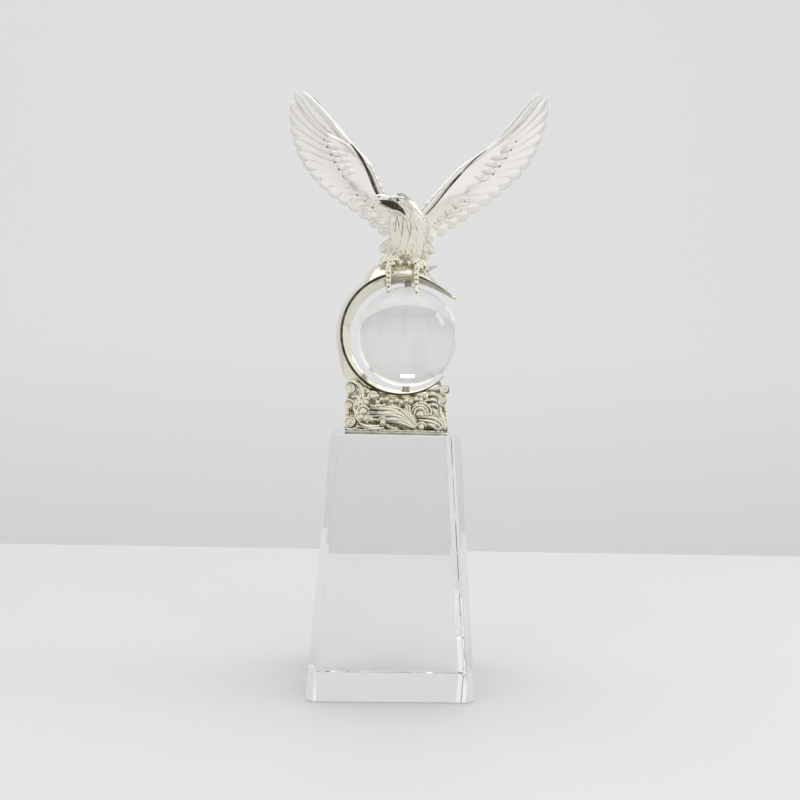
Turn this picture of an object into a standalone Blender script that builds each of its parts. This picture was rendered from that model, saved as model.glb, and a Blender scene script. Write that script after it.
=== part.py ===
"""Eagle trophy.

A tapered crystal plinth carries a plated casting of breaking waves that rises into a
crescent. A crystal ball is held inside the crescent on two pegs, and a plated eagle
with raised wings stands on its crown.

Frame: metres, +Z up, the front faces -Y. The origin is the middle of the underside.
"""
import math

import bmesh
import bpy
import numpy as np

MM = 0.001

OBJECT_NAME = "eagle_trophy"
FIT_GAP = 0.3 * MM

# Plinth
PLINTH_HEIGHT = 122 * MM
PLINTH_BASE_WIDTH = 78 * MM
PLINTH_TOP_WIDTH = 59.5 * MM
PLINTH_DEPTH = 80 * MM
PLINTH_CORNER_CUT = 3 * MM
PLINTH_EDGE_CUT = 0.5 * MM

# Ball and its pegs
BALL_RADIUS = 25 * MM
BALL_SIDE_OFFSET = 5.8 * MM
BALL_LIFT = 22 * MM
PEG_RADIUS = 1.8 * MM
PEG_REACH = 2 * MM
PEG_ROOT = 1.5 * MM

# Crescent, drawn round the ball
CRESCENT_SHIFT_X = -3 * MM
CRESCENT_SHIFT_Z = 0.8 * MM
CRESCENT_MARGIN = 4.4 * MM
CRESCENT_HALF_DEPTH = 11 * MM
CRESCENT_BALL_GAP = 0.6 * MM
CRESCENT_BACK_GAP = 2.7 * MM
CRESCENT_SWELL = 2.4 * MM
CRESCENT_RIM_FLAT = 1.0 * MM
CRESCENT_UPPER_TIP = math.radians(34.6)
CRESCENT_LOWER_TIP = math.radians(317.4)
CRESCENT_TIP_FLARE = 3.2 * MM
CROWN_RISE = 5 * MM
SKIRT_RISE = 2.6 * MM
SPUR_LENGTH = 8 * MM

# Waves under the crescent: their carving is given in fiftieths of their width, and
# upwards in twenty-seconds of the ball's lift
WAVE_WIDTH = 50 * MM
WAVE_SIDE_SHIFT = -1.6 * MM
WAVE_HALF_DEPTH = 9.5 * MM
WAVE_OVERLAP = 0.2 * MM
FOAM_DROP = 3.6 * MM
WAVE_RIDGE_RADIUS = 0.9 * MM
WAVE_BEAD_RADIUS = 1.45 * MM

# Eagle: its form is given in hundredths of its own height
EAGLE_HEIGHT = 91 * MM
EAGLE_SIDE_OFFSET = 3 * MM
WING_FEATHERS = 15
WING_THICKNESS = 1.3 * MM
WING_BELLY = 2.2 * MM
FEATHER_STEP = 1.1 * MM
TOE_RADIUS = 1.25 * MM
TOE_DROP = 10.5 * MM

STAND_FOOT = PLINTH_HEIGHT + FIT_GAP
BALL_CENTRE = np.array([BALL_SIDE_OFFSET, 0.0, STAND_FOOT + BALL_LIFT + BALL_RADIUS])
CRESCENT_CENTRE = BALL_CENTRE + np.array([CRESCENT_SHIFT_X, 0.0, CRESCENT_SHIFT_Z])
RIM_RADIUS = BALL_RADIUS + CRESCENT_MARGIN
WAVE_UNIT = WAVE_WIDTH / 50
WAVE_UNIT_UP = BALL_LIFT / 22
EAGLE_UNIT = EAGLE_HEIGHT / 100


def clear_scene():
    for item in list(bpy.data.objects):
        bpy.data.objects.remove(item, do_unlink=True)


def new_collection(name):
    collection = bpy.data.collections.new(name)
    bpy.context.scene.collection.children.link(collection)
    return collection


def new_material(name, colour, metallic, roughness, transmission=0.0):
    material = bpy.data.materials.new(name)
    material.use_nodes = True
    shader = material.node_tree.nodes["Principled BSDF"]
    shader.inputs["Base Color"].default_value = (*colour, 1.0)
    shader.inputs["Metallic"].default_value = metallic
    shader.inputs["Roughness"].default_value = roughness
    shader.inputs["Transmission Weight"].default_value = transmission
    return material


def mesh_object(name, mesh, collection, material=None):
    """Link a mesh as an object, its faces turned outwards."""
    work = bmesh.new()
    work.from_mesh(mesh)
    bmesh.ops.recalc_face_normals(work, faces=work.faces)
    work.to_mesh(mesh)
    work.free()
    item = bpy.data.objects.new(name, mesh)
    collection.objects.link(item)
    if material:
        mesh.materials.append(material)
    return item


def as_shape(item, collection):
    """Keep an object only as a shape that a Boolean reads."""
    for owner in list(item.users_collection):
        owner.objects.unlink(item)
    collection.objects.link(item)
    item.hide_render = True
    item.display_type = "WIRE"
    return item


def smooth(item, angle=35.0):
    item.data.shade_smooth()
    item.data.set_sharp_from_angle(angle=math.radians(angle))


def loft(name, rings, collection, material=None):
    """Closed body through rings of equally many points, capped at both ends."""
    rings = np.asarray(rings, dtype=float)
    count, around, _ = rings.shape
    faces = []
    for ring in range(count - 1):
        for k in range(around):
            after = (k + 1) % around
            faces.append((ring * around + k, ring * around + after,
                          (ring + 1) * around + after, (ring + 1) * around + k))
    faces.append(tuple(range(around)))
    faces.append(tuple((count - 1) * around + k for k in range(around)))
    mesh = bpy.data.meshes.new(name)
    mesh.from_pydata(rings.reshape(-1, 3).tolist(), [], faces)
    return mesh_object(name, mesh, collection, material)


def curve_through(points, count):
    """Smooth curve through a few points, read at evenly spaced parameters."""
    points = np.asarray(points, dtype=float)
    first = 2 * points[0] - points[1]
    last = 2 * points[-1] - points[-2]
    padded = np.vstack([first, points, last])
    places = np.linspace(0, len(points) - 1, count)
    result = []
    for place in places:
        k = min(int(place), len(points) - 2)
        t = place - k
        a, b, c, d = padded[k:k + 4]
        result.append(0.5 * (2 * b + (c - a) * t + (2 * a - 5 * b + 4 * c - d) * t ** 2
                             + (3 * b - a - 3 * c + d) * t ** 3))
    return np.array(result)


def tube_rings(path, radii, around, side=(0.0, 1.0, 0.0), flatten=1.0, flute=0.0):
    """Rings square to a path. The radius along `side` is flattened by a factor."""
    path = np.asarray(path, dtype=float)
    tangents = np.gradient(path, axis=0)
    tangents /= np.linalg.norm(tangents, axis=1)[:, None]
    rings = []
    for k, (point, tangent) in enumerate(zip(path, tangents)):
        across = np.asarray(side) - np.dot(side, tangent) * tangent
        across /= np.linalg.norm(across)
        other = np.cross(tangent, across)
        angles = np.arange(around) * 2 * math.pi / around
        reach = radii[k] * (1 + flute * np.cos(angles * around / 2 + k * math.pi))
        ring = (point + np.outer(np.cos(angles) * reach * flatten, across)
                + np.outer(np.sin(angles) * reach, other))
        rings.append(ring)
    return np.array(rings)


def tube(name, path, radii, around, collection, **shape):
    return loft(name, tube_rings(path, radii, around, **shape), collection)


def ball_shape(name, centre, radius, collection, segments=10, rings=6):
    mesh = bpy.data.meshes.new(name)
    work = bmesh.new()
    bmesh.ops.create_uvsphere(work, u_segments=segments, v_segments=rings, radius=radius)
    bmesh.ops.translate(work, verts=work.verts, vec=tuple(centre))
    work.to_mesh(mesh)
    work.free()
    return mesh_object(name, mesh, collection)


def upright_peg(name, low, high, radius, collection, segments=12):
    """Round peg along Z between two heights over the ball's middle."""
    mesh = bpy.data.meshes.new(name)
    work = bmesh.new()
    bmesh.ops.create_cone(work, cap_ends=True, segments=segments, radius1=radius,
                          radius2=radius, depth=high - low)
    bmesh.ops.translate(work, verts=work.verts,
                        vec=(BALL_CENTRE[0], BALL_CENTRE[1], (low + high) / 2))
    work.to_mesh(mesh)
    work.free()
    return mesh_object(name, mesh, collection)


def boolean_with(item, collection, operation):
    change = item.modifiers.new(operation.lower(), "BOOLEAN")
    change.operation = operation
    change.solver = "EXACT"
    change.operand_type = "COLLECTION"
    change.collection = collection


def build_plinth(collection, material):
    bpy.ops.mesh.primitive_cube_add(size=1.0)
    plinth = bpy.context.object
    plinth.name = "crystal_plinth"
    work = bmesh.new()
    work.from_mesh(plinth.data)
    for vertex in work.verts:
        top = vertex.co.z > 0
        width = PLINTH_TOP_WIDTH if top else PLINTH_BASE_WIDTH
        vertex.co.x *= width
        vertex.co.y *= PLINTH_DEPTH
        vertex.co.z = PLINTH_HEIGHT if top else 0.0
    upright = [edge for edge in work.edges
               if abs(edge.verts[0].co.z - edge.verts[1].co.z) > PLINTH_HEIGHT / 2]
    bmesh.ops.bevel(work, geom=upright, offset=PLINTH_CORNER_CUT, segments=1,
                    affect="EDGES", profile=0.5)
    work.to_mesh(plinth.data)
    work.free()
    edge_cut = plinth.modifiers.new("edge_cut", "BEVEL")
    edge_cut.width = PLINTH_EDGE_CUT
    edge_cut.segments = 1
    edge_cut.limit_method = "ANGLE"
    edge_cut.angle_limit = math.radians(25)
    plinth.data.materials.append(material)
    for owner in list(plinth.users_collection):
        owner.objects.unlink(plinth)
    collection.objects.link(plinth)
    return plinth


def build_ball(collection, cutters, material):
    """Solid ball with a blind hole for each peg."""
    ball = ball_shape("crystal_ball", BALL_CENTRE, BALL_RADIUS, collection, 28, 16)
    ball.data.materials.append(material)
    hole = PEG_RADIUS + FIT_GAP
    reach = PEG_REACH + FIT_GAP
    low = BALL_CENTRE[2] - BALL_RADIUS
    high = BALL_CENTRE[2] + BALL_RADIUS
    for name, start, end in (("lower_peg_hole", low - PEG_REACH, low + reach),
                             ("upper_peg_hole", high - reach, high + PEG_REACH)):
        as_shape(upright_peg(name, start, end, hole, cutters), cutters)
    boolean_with(ball, cutters, "DIFFERENCE")
    smooth(ball)
    return ball


def crescent_share(angle):
    """Place along the crescent, 0 at the upper tip and 1 at the lower."""
    return (angle - CRESCENT_UPPER_TIP) / (CRESCENT_LOWER_TIP - CRESCENT_UPPER_TIP)


def crescent_weight(angle):
    """Full in the middle of the crescent and nearly nothing at its tips."""
    share = crescent_share(angle)
    return max(0.05, (1 - abs(2 * share - 1) ** 3.2) ** 0.9)


def smooth_step(value):
    value = min(1.0, max(0.0, value))
    return value * value * (3 - 2 * value)


def crescent_rim(angle):
    """Radius of the thin front and back rims about the crescent's centre."""
    flare = max(0.0, 1 - crescent_share(angle) / 0.12)
    return RIM_RADIUS + CRESCENT_TIP_FLARE * flare ** 2


def crescent_inner(angle):
    """Radius of the middle of the inner face, which clears the ball."""
    to_ball = -CRESCENT_SHIFT_X * math.cos(angle) - CRESCENT_SHIFT_Z * math.sin(angle)
    back = CRESCENT_BACK_GAP * max(0.0, -math.cos(angle))
    free = to_ball + BALL_RADIUS + CRESCENT_BALL_GAP + back
    rim = crescent_rim(angle) - CRESCENT_RIM_FLAT / 2
    return rim + (free - rim) * crescent_weight(angle)


def crescent_outer(angle):
    """Radius of the middle of the outer face, with its crown on top and skirt low left."""
    crown = smooth_step((math.radians(130) - angle) / math.radians(20))
    crown *= smooth_step((angle - math.radians(50)) / math.radians(24))
    skirt = smooth_step((angle - math.radians(195)) / math.radians(25))
    skirt *= smooth_step((math.radians(262) - angle) / math.radians(25))
    rim = crescent_rim(angle) + CRESCENT_RIM_FLAT / 2
    swell = CRESCENT_SWELL + CROWN_RISE * crown + SKIRT_RISE * skirt
    return rim + swell * crescent_weight(angle)


def crescent_half_depth(angle):
    return CRESCENT_HALF_DEPTH * crescent_weight(angle)


def on_crescent(angle, radius, depth):
    return CRESCENT_CENTRE + np.array([radius * math.cos(angle), depth,
                                       radius * math.sin(angle)])


def crescent_section(angle):
    """Leaf shape: two thin rims joined by an inner and an outer swelling."""
    across = np.array([-1.0, -0.7, -0.25, 0.25, 0.7, 1.0])
    flat = CRESCENT_RIM_FLAT / 2 * crescent_weight(angle)
    rim = crescent_rim(angle)
    depth = crescent_half_depth(angle)
    inner = rim - flat + (crescent_inner(angle) - rim + flat) * (1 - across ** 2)
    outer = rim + flat + (crescent_outer(angle) - rim - flat) * (1 - across ** 2)
    points = [on_crescent(angle, r, depth * y) for r, y in zip(inner, across)]
    points += [on_crescent(angle, r, depth * y) for r, y in zip(outer[::-1], -across)]
    return points


def crown_point(angle, forward, lift):
    """Point over the outer face: forward is 0 on the crest and 1 at the front rim."""
    rim = crescent_rim(angle) + CRESCENT_RIM_FLAT / 2
    rise = crescent_outer(angle) - rim
    depth = crescent_half_depth(angle)
    radius = rim + rise * (1 - forward ** 2)
    slope = np.array([2 * rise * forward, depth])
    slope /= np.linalg.norm(slope)
    return on_crescent(angle, radius + lift * slope[1], -depth * forward - lift * slope[0])


def wave_core(collection):
    """Block under the crescent, its top hidden in the crescent's lower arc."""
    half = WAVE_WIDTH / 2
    arc = [math.radians(a) for a in np.linspace(222, 312, 13)]
    top = [on_crescent(a, RIM_RADIUS + WAVE_OVERLAP, 0.0) for a in arc]
    middle = CRESCENT_CENTRE[0] + WAVE_SIDE_SHIFT
    outline = [(middle - half, STAND_FOOT)]
    outline += [(point[0], point[2]) for point in top]
    outline += [(middle + half, STAND_FOOT)]
    rings = [[(x, y, z) for x, z in outline]
             for y in (-WAVE_HALF_DEPTH, WAVE_HALF_DEPTH)]
    return loft("wave_core", rings, collection)


def wave_point(x, z, front):
    """Place on the wave block's face, x from its middle and z from its foot."""
    return np.array([CRESCENT_CENTRE[0] + WAVE_SIDE_SHIFT + x * WAVE_UNIT,
                     -front * WAVE_HALF_DEPTH, STAND_FOOT + z * WAVE_UNIT_UP])


def wave_curls(collection):
    """Rolled crests: a drum through the block and a spiral ridge on each face."""
    curls = [(-23.5, 21.0, 2.8, 1), (-24.0, 13.2, 2.4, 1), (-23.4, 3.8, 3.4, -1),
             (23.2, 21.6, 2.4, -1), (22.4, 14.6, 2.4, -1), (20.6, 4.0, 3.0, 1)]
    for number, (x, z, radius, turn) in enumerate(curls):
        front = wave_point(x, z, 0.93)
        back = wave_point(x, z, -0.93)
        tube(f"curl_drum_{number}", [front, back], [radius * 0.92 * WAVE_UNIT] * 2, 12,
             collection, side=(1.0, 0.0, 0.0))
        for face in (1, -1):
            steps = np.linspace(0, 1, 9)
            angles = turn * (steps * 0.85 * 2 * math.pi + 0.6)
            reach = radius * (1 - 0.55 * steps) * WAVE_UNIT
            middle = wave_point(x, z, face * 0.95)
            path = middle + np.stack([reach * np.cos(angles), 0 * angles,
                                      reach * np.sin(angles)], axis=1)
            radii = WAVE_RIDGE_RADIUS * (1 - 0.4 * steps)
            tube(f"curl_ridge_{number}_{face}", path, radii, 5, collection)


def wave_flow(collection):
    """Long ridges that sweep down to the right on both faces."""
    lines = [((-17, 12.5), (-7, 7.5), (4, 5.5), (12, 2.2)),
             ((-15, 16), (-4, 11), (5, 8), (13, 3.6)),
             ((-20, 8.5), (-10, 4.5), (1, 3.0), (10, 1.3)),
             ((-8, 16.5), (2, 12.5), (8, 9.0), (14, 5.2)),
             ((14, 6), (18, 8.4), (21, 10.2), (23.4, 10.0))]
    for number, line in enumerate(lines):
        for face in (1, -1):
            points = [wave_point(x, z, face) for x, z in line]
            path = curve_through(points, 6)
            swell = np.sin(np.linspace(0.12, 0.92, 6) * math.pi)
            radii = WAVE_RIDGE_RADIUS * (0.45 + 0.8 * swell)
            tube(f"flow_{number}_{face}", path, radii, 5, collection)


def wave_shell(collection):
    """Ribbed fan on the right of each face."""
    for rib in range(5):
        angle = math.radians(8 + rib * 26)
        for face in (1, -1):
            root = wave_point(7.5, 11.5, face * 0.98)
            reach = (10.5 - 0.8 * abs(rib - 2)) * WAVE_UNIT
            way = np.array([math.cos(angle), -face * 0.12, math.sin(angle)])
            steps = np.linspace(0.1, 1.0, 4)
            path = root + np.outer(steps * reach, way)
            radii = np.array([0.6, 1.3, 1.9, 0.9]) * WAVE_UNIT
            tube(f"shell_rib_{rib}_{face}", path, radii, 5, collection)


def wave_beads(collection):
    """Foam: a row of beads under the crescent and a few loose ones."""
    row = np.radians(np.linspace(244, 284, 7))
    for number, angle in enumerate(row):
        for face in (1, -1):
            centre = on_crescent(angle, RIM_RADIUS + FOAM_DROP, -face * WAVE_HALF_DEPTH)
            ball_shape(f"foam_{number}_{face}", centre, WAVE_BEAD_RADIUS, collection, 6, 4)
    loose = [(-12.6, 17.3, 2.0), (-16.6, 13.6, 1.7), (-6.2, 4.6, 2.0), (11.6, 8.8, 2.3),
             (13.0, 3.6, 1.7)]
    for number, (x, z, radius) in enumerate(loose):
        for face in (1, -1):
            centre = wave_point(x, z, face)
            ball_shape(f"drop_{number}_{face}", centre, radius * WAVE_UNIT, collection, 7, 5)


def crown_spur(collection):
    """Small pointed leaf on the crown's right shoulder."""
    start = crown_point(math.radians(71), -0.25, -SPUR_LENGTH / 12)
    steps = np.linspace(0, 1, 6)
    path = start + np.outer(steps * SPUR_LENGTH, (0.88, 0.1, 0.46))
    radii = np.array([0.9, 1.0, 0.9, 0.7, 0.45, 0.12]) * SPUR_LENGTH / 8
    tube("crown_spur", path, radii, 6, collection, flatten=0.7)


def build_stand(collection, shapes, material):
    """One casting: the crescent, the waves under it and the two pegs."""
    angles = np.linspace(CRESCENT_UPPER_TIP, CRESCENT_LOWER_TIP, 46)
    rings = [crescent_section(angle) for angle in angles]
    stand = loft("wave_crescent_stand", rings, collection, material)
    wave_core(shapes)
    wave_curls(shapes)
    wave_flow(shapes)
    wave_shell(shapes)
    wave_beads(shapes)
    crown_spur(shapes)
    low = BALL_CENTRE[2] - BALL_RADIUS
    high = BALL_CENTRE[2] + BALL_RADIUS
    root = CRESCENT_BALL_GAP + PEG_ROOT
    upright_peg("lower_peg", low - root, low + PEG_REACH, PEG_RADIUS, shapes)
    upright_peg("upper_peg", high - PEG_REACH, high + root, PEG_RADIUS, shapes)
    for item in list(shapes.objects):
        as_shape(item, shapes)
    boolean_with(stand, shapes, "UNION")
    smooth(stand)
    return stand


def perch():
    """Top of the crown, which the eagle's proportions are measured from."""
    top = on_crescent(math.pi / 2, crescent_outer(math.pi / 2), 0.0)
    top[0] = EAGLE_SIDE_OFFSET
    return top


def eagle_point(share):
    """World place of a point given in hundredths of the eagle's height."""
    return perch() + np.asarray(share, dtype=float) * EAGLE_UNIT


def wing_lines(side):
    """Leading edge, and the line that the feather tips reach, from root to tip."""
    if side < 0:
        lead = [(-1, 2, 21), (-12, 4, 38.5), (-21, 10, 56.5), (-37, 20, 76), (-48.5, 26.5, 90)]
        tips = [(-11, 5, 15), (-27, 10, 31), (-46, 18, 45.5), (-60, 24, 64), (-66, 29, 84),
                (-65.5, 32, 100), (-58, 31, 101)]
    else:
        lead = [(4, 2, 20), (17, 3, 37), (33.5, 7, 55.5), (51.5, 10, 70), (65, 12, 87)]
        tips = [(14, 5, 12), (33, 8, 26.5), (55, 10, 44.5), (69.5, 12, 59.5), (78.5, 13, 78),
                (81, 13, 97.5), (74.5, 12.5, 99.5)]
    return lead, tips


def build_wing(name, side, collection):
    """Feathered sheet whose trailing edge is cut into one lobe for each feather."""
    lead_line, tip_line = wing_lines(side)
    phases = (0.05, 0.5, 0.95)
    columns = WING_FEATHERS * len(phases)
    lead = np.array([eagle_point(p) for p in curve_through(lead_line, 200)])
    tips = np.array([eagle_point(p) for p in curve_through(tip_line, 200)])
    rows = np.array([0.0, 0.15, 0.6, 1.0])
    normal = np.cross(lead[-1] - lead[0], tips[110] - lead[110]) * side
    normal /= np.linalg.norm(normal)
    front = np.zeros((columns, len(rows), 3))
    back = np.zeros((columns, len(rows), 3))
    for column in range(columns):
        feather, step = divmod(column, len(phases))
        phase = phases[step]
        share = (feather + phase) / WING_FEATHERS
        place = int(round(share * 199))
        notch = (0.05 + 0.1 * share ** 3) * abs(2 * phase - 1) ** 2
        chord = (tips[place] - lead[place]) * (1 - notch)
        for row, v in enumerate(rows):
            belly = math.sin(v * math.pi) * WING_BELLY
            shingle = (0.5 - phase) * FEATHER_STEP * min(1.0, 2 * v)
            half = WING_THICKNESS * (1.35 - 0.85 * v) * (0.55 if row == 0 else 1.0)
            middle = lead[place] + chord * v + normal * (belly + shingle)
            front[column, row] = middle - normal * half
            back[column, row] = middle + normal * half
    rings = [np.vstack([front[c], back[c][::-1]]) for c in range(columns)]
    return loft(name, rings, collection)


def build_tail(collection):
    """Fan of five broad feathers behind the legs."""
    root = eagle_point((2.5, 6, 17))
    for number, lean in enumerate((-54, -28, 0, 28, 54)):
        angle = math.radians(lean)
        reach = (17.2 - abs(number - 2) * 0.5) * EAGLE_UNIT
        way = np.array([math.sin(angle), 0.34, -math.cos(angle)])
        steps = np.linspace(0, 1, 5)
        path = root + np.outer(steps * reach, way)
        path[:, 1] += abs(number - 2) * 0.38 * EAGLE_UNIT
        radii = np.array([1.4, 2.3, 3.0, 3.1, 1.3]) * EAGLE_UNIT
        tube(f"tail_feather_{number}", path, radii, 8, collection,
             side=(0.0, 1.0, 0.3), flatten=0.24)


def build_body(collection):
    """Body, neck and head as one sweep that turns towards the beak."""
    line = [(4, 13, 9), (3.5, 7, 13), (3, 2, 17), (2, -2, 21), (1, -6, 24.5),
            (-1, -10, 27.5), (-4, -13, 29), (-8, -14, 28.8), (-10.5, -14.4, 28.6)]
    path = np.array([eagle_point(p) for p in curve_through(line, 13)])
    sizes = curve_through([(4.0, 0, 0), (8.2, 0, 0), (10.2, 0, 0), (10.4, 0, 0),
                           (8.8, 0, 0), (6.6, 0, 0), (5.7, 0, 0), (4.2, 0, 0),
                           (1.8, 0, 0)], 13)[:, 0]
    rings = tube_rings(path, sizes * EAGLE_UNIT, 14, side=(0.2, 1.0, 0.4),
                       flatten=0.86, flute=0.03)
    return rings


def build_beak(collection):
    upper = [(-9, -14.3, 30), (-12.5, -15, 31.6), (-15.6, -15.4, 31.6), (-17.2, -15.4, 29.6)]
    lower = [(-9, -14.2, 27.6), (-12, -14.8, 28.4), (-14.6, -15, 28.8)]
    path = np.array([eagle_point(p) for p in curve_through(upper, 7)])
    radii = np.array([2.5, 2.3, 1.9, 1.5, 1.1, 0.7, 0.12]) * EAGLE_UNIT
    tube("upper_beak", path, radii, 8, collection)
    path = np.array([eagle_point(p) for p in curve_through(lower, 5)])
    radii = np.array([1.9, 1.5, 1.2, 0.8, 0.2]) * EAGLE_UNIT
    tube("lower_beak", path, radii, 8, collection)
    brow = [(-11, -16.5, 31.4), (-8, -18.2, 31.8), (-4.5, -17.6, 31.4)]
    path = np.array([eagle_point(p) for p in curve_through(brow, 5)])
    radii = np.array([0.4, 0.9, 1.1, 0.9, 0.4]) * EAGLE_UNIT
    tube("brow", path, radii, 6, collection)


def build_toe(name, path, collection):
    """Row of knuckles that narrows into a talon."""
    steps = np.linspace(0, 1, len(path))
    knuckles = 0.82 + 0.18 * np.cos(np.arange(len(path)) * math.pi)
    talon = np.clip((1 - steps) / 0.3, 0.12, 1.0)
    tube(name, path, TOE_RADIUS * knuckles * talon, 6, collection)


def before_ball(point):
    """Bring a hanging toe's point forward until the toe clears the ball."""
    away = point - BALL_CENTRE
    bulge = math.sqrt(max(0.0, BALL_RADIUS ** 2 - away[0] ** 2 - away[2] ** 2))
    free = BALL_CENTRE[1] - bulge - TOE_RADIUS - CRESCENT_BALL_GAP
    return np.array([point[0], min(point[1], free), point[2]])


def build_leg(number, angle, spread, collection):
    """Feathered thigh, and four toes laid over the crown without touching it."""
    lift = TOE_RADIUS + FIT_GAP
    ankle = crown_point(angle, 0.12, lift)
    hip = eagle_point((3 + math.copysign(4.2, spread[0]), 1, 14))
    knee = hip * 0.45 + ankle * 0.55 + np.array([0, -TOE_RADIUS, 0])
    path = curve_through([hip, knee, ankle + np.array([0, 0, TOE_RADIUS / 2])], 5)
    radii = np.array([5.6, 5.0, 4.0, 2.9, 2.0]) * EAGLE_UNIT
    tube(f"thigh_{number}", path, radii, 8, collection, flute=0.04)
    for toe, (turn, start, reach, drop) in enumerate(((spread[0] * 9, 0.1, 0.62, 0.0),
                                                      (spread[0] * 1.5, 0.16, 1.0, 1.0),
                                                      (-spread[0] * 9, 0.07, 0.8, spread[1]),
                                                      (-spread[0] * 2, 0.03, -0.8, 0.0))):
        ways = np.linspace(0, 1, 6)
        first = angle + math.radians(turn) * 0.12
        crossing = [crown_point(first + math.radians(turn) * w,
                                start + (reach - start) * w, lift) for w in ways]
        end = crossing[-1]
        hang = [before_ball(end + np.array([0.0, -TOE_RADIUS * k / 4, -TOE_DROP * drop * k / 4]))
                for k in range(1, 5)] if drop else []
        build_toe(f"toe_{number}_{toe}", np.array(crossing + hang), collection)


def build_eagle(collection, shapes, material):
    eagle = loft("eagle", build_body(shapes), collection, material)
    build_wing("left_wing", -1, shapes)
    build_wing("right_wing", 1, shapes)
    build_tail(shapes)
    build_beak(shapes)
    build_leg(0, math.radians(99), (1.0, 0.0), shapes)
    build_leg(1, math.radians(79), (-1.0, 0.0), shapes)
    for item in list(shapes.objects):
        as_shape(item, shapes)
    boolean_with(eagle, shapes, "UNION")
    smooth(eagle)
    return eagle


def main():
    clear_scene()
    parts = new_collection(OBJECT_NAME)
    peg_holes = new_collection("peg_holes")
    stand_shapes = new_collection("stand_shapes")
    eagle_shapes = new_collection("eagle_shapes")
    clear = new_material("clear_crystal", (0.97, 0.98, 0.98), 0.0, 0.02, 1.0)
    plate = new_material("champagne_plate", (0.80, 0.79, 0.68), 1.0, 0.16)
    silver = new_material("silver_plate", (0.86, 0.85, 0.80), 1.0, 0.14)
    build_plinth(parts, clear)
    build_ball(parts, peg_holes, clear)
    build_stand(parts, stand_shapes, plate)
    build_eagle(parts, eagle_shapes, silver)


main()
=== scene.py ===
"""Eagle trophy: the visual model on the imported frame.

A tapered crystal plinth carries a plated casting of breaking waves and a crescent, a
crystal ball held on two pegs, and a plated eagle. +Z is up and the front faces -Y.
The trophy's lengths are in millimetres until a piece's mesh is made, which brings them
to metres. The stage around it is in metres.
"""
import math

import bpy
import numpy as np
from mathutils import Matrix, Vector


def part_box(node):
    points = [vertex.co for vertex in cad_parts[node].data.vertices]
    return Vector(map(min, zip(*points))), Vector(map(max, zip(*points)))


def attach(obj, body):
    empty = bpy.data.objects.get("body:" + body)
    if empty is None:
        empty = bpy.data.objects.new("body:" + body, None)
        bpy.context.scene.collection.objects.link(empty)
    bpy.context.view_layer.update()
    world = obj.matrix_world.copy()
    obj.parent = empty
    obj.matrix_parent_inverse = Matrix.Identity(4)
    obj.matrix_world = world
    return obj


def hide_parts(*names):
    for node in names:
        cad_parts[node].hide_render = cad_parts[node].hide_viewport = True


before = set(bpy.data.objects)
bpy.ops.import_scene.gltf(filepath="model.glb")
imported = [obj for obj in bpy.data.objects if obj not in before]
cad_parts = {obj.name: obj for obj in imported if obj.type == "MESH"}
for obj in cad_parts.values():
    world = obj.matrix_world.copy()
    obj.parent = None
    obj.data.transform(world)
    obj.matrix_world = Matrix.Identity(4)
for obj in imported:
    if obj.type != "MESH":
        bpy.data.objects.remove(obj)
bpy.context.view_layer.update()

MM = 0.001
TURN = 2 * math.pi
SHARP_ANGLE = math.radians(50)
# Tone of the darkest painted shade, in a recess or a gap; bright metal is 0
DARK = 1.0


def corners_of(node):
    """Lowest and highest corner of a node's box, in millimetres."""
    low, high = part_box(node)
    return np.array(low) / MM, np.array(high) / MM


# Places read from the frame
BALL_LOW, BALL_HIGH = corners_of("crystal_ball")
BALL_MIDDLE = (BALL_LOW + BALL_HIGH) / 2
BALL_RADIUS = (BALL_HIGH[0] - BALL_LOW[0]) / 2
FOOT = corners_of("wave_crescent_stand")[0][2]

# The crescent, as in the frame
RIM_SIDE = 3.0
RIM_LIFT = 0.8
RIM_MIDDLE = BALL_MIDDLE + np.array([-RIM_SIDE, 0.0, RIM_LIFT])
RIM_RADIUS = BALL_RADIUS + 4.4
UPPER_TIP = math.radians(34.6)
LOWER_TIP = math.radians(317.4)
TIP_FLARE = 3.2
HALF_DEPTH = 11.0
BALL_GAP = 0.6
BACK_GAP = 2.7
SWELL = 2.4
RIM_FLAT = 1.0
CROWN_RISE = 5.0
SKIRT_RISE = 2.6
RIM_BEAD = 0.62
# First, rise, fall and last of the raised crown, the low skirt and the saddle, in degrees
CROWN_WINDOW = (50, 24, 20, 130)
SKIRT_WINDOW = (195, 25, 25, 262)
SADDLE_WINDOW = (78, 4, 4, 104)
PEG_RADIUS = 1.8
PEG_REACH = 2.0
PEG_ROOT = BALL_GAP + 1.5
HOLE_GAP = 0.3

# The waves under it
WAVE_MIDDLE = RIM_MIDDLE[0] - 1.6
WAVE_HALF = 25.0
WAVE_DEPTH = 9.5
# Radii of the ridges and of the dark rods of painted shade in the grooves beside them, the same
# for the arcs, and how far out on the face those rods lie
RIDGE, GROOVE_SHADE = 1.05, 0.4
ARC_RIDGE, ARC_GROOVE_SHADE = 0.78, 0.32
GROOVE_FACE = 1.01
FOAM_COUNT = 13
FOAM_RADIUS = 1.3
FOAM_SPAN = (241, 292)

# The eagle, whose form is given in hundredths of its height
EAGLE_UNIT = 0.91
PERCH_SIDE = 3.0
HEAD_MIDDLE = -11.8
FLIGHT_FEATHERS = 15
TOE_RADIUS = 1.25
TOE_DROP = 10.5
TOE_GAP = 0.3
KNUCKLE_STEP = 2.4
# Each foot's angle on the crescent and the way in which its toes spread
FEET = ((math.radians(99), 1.0), (math.radians(79), -1.0))

# The photograph: a level camera, rolled a little, about half a metre away
CAMERA_DISTANCE = 496 * MM
CAMERA_HEIGHT = 138 * MM
CAMERA_SIDE = 3.0 * MM
CAMERA_TURN = math.radians(-2.5)
CAMERA_ROLL = math.radians(1.3)
FOCAL_PIXELS = 1000
FRAME_PIXELS = 800

# The table and the wall behind it
TABLE_DROP = 0.25 * MM
TABLE_BACK = 425 * MM
WALL_DISTANCE = 1600 * MM
STAGE_HALF = 3.0

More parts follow.
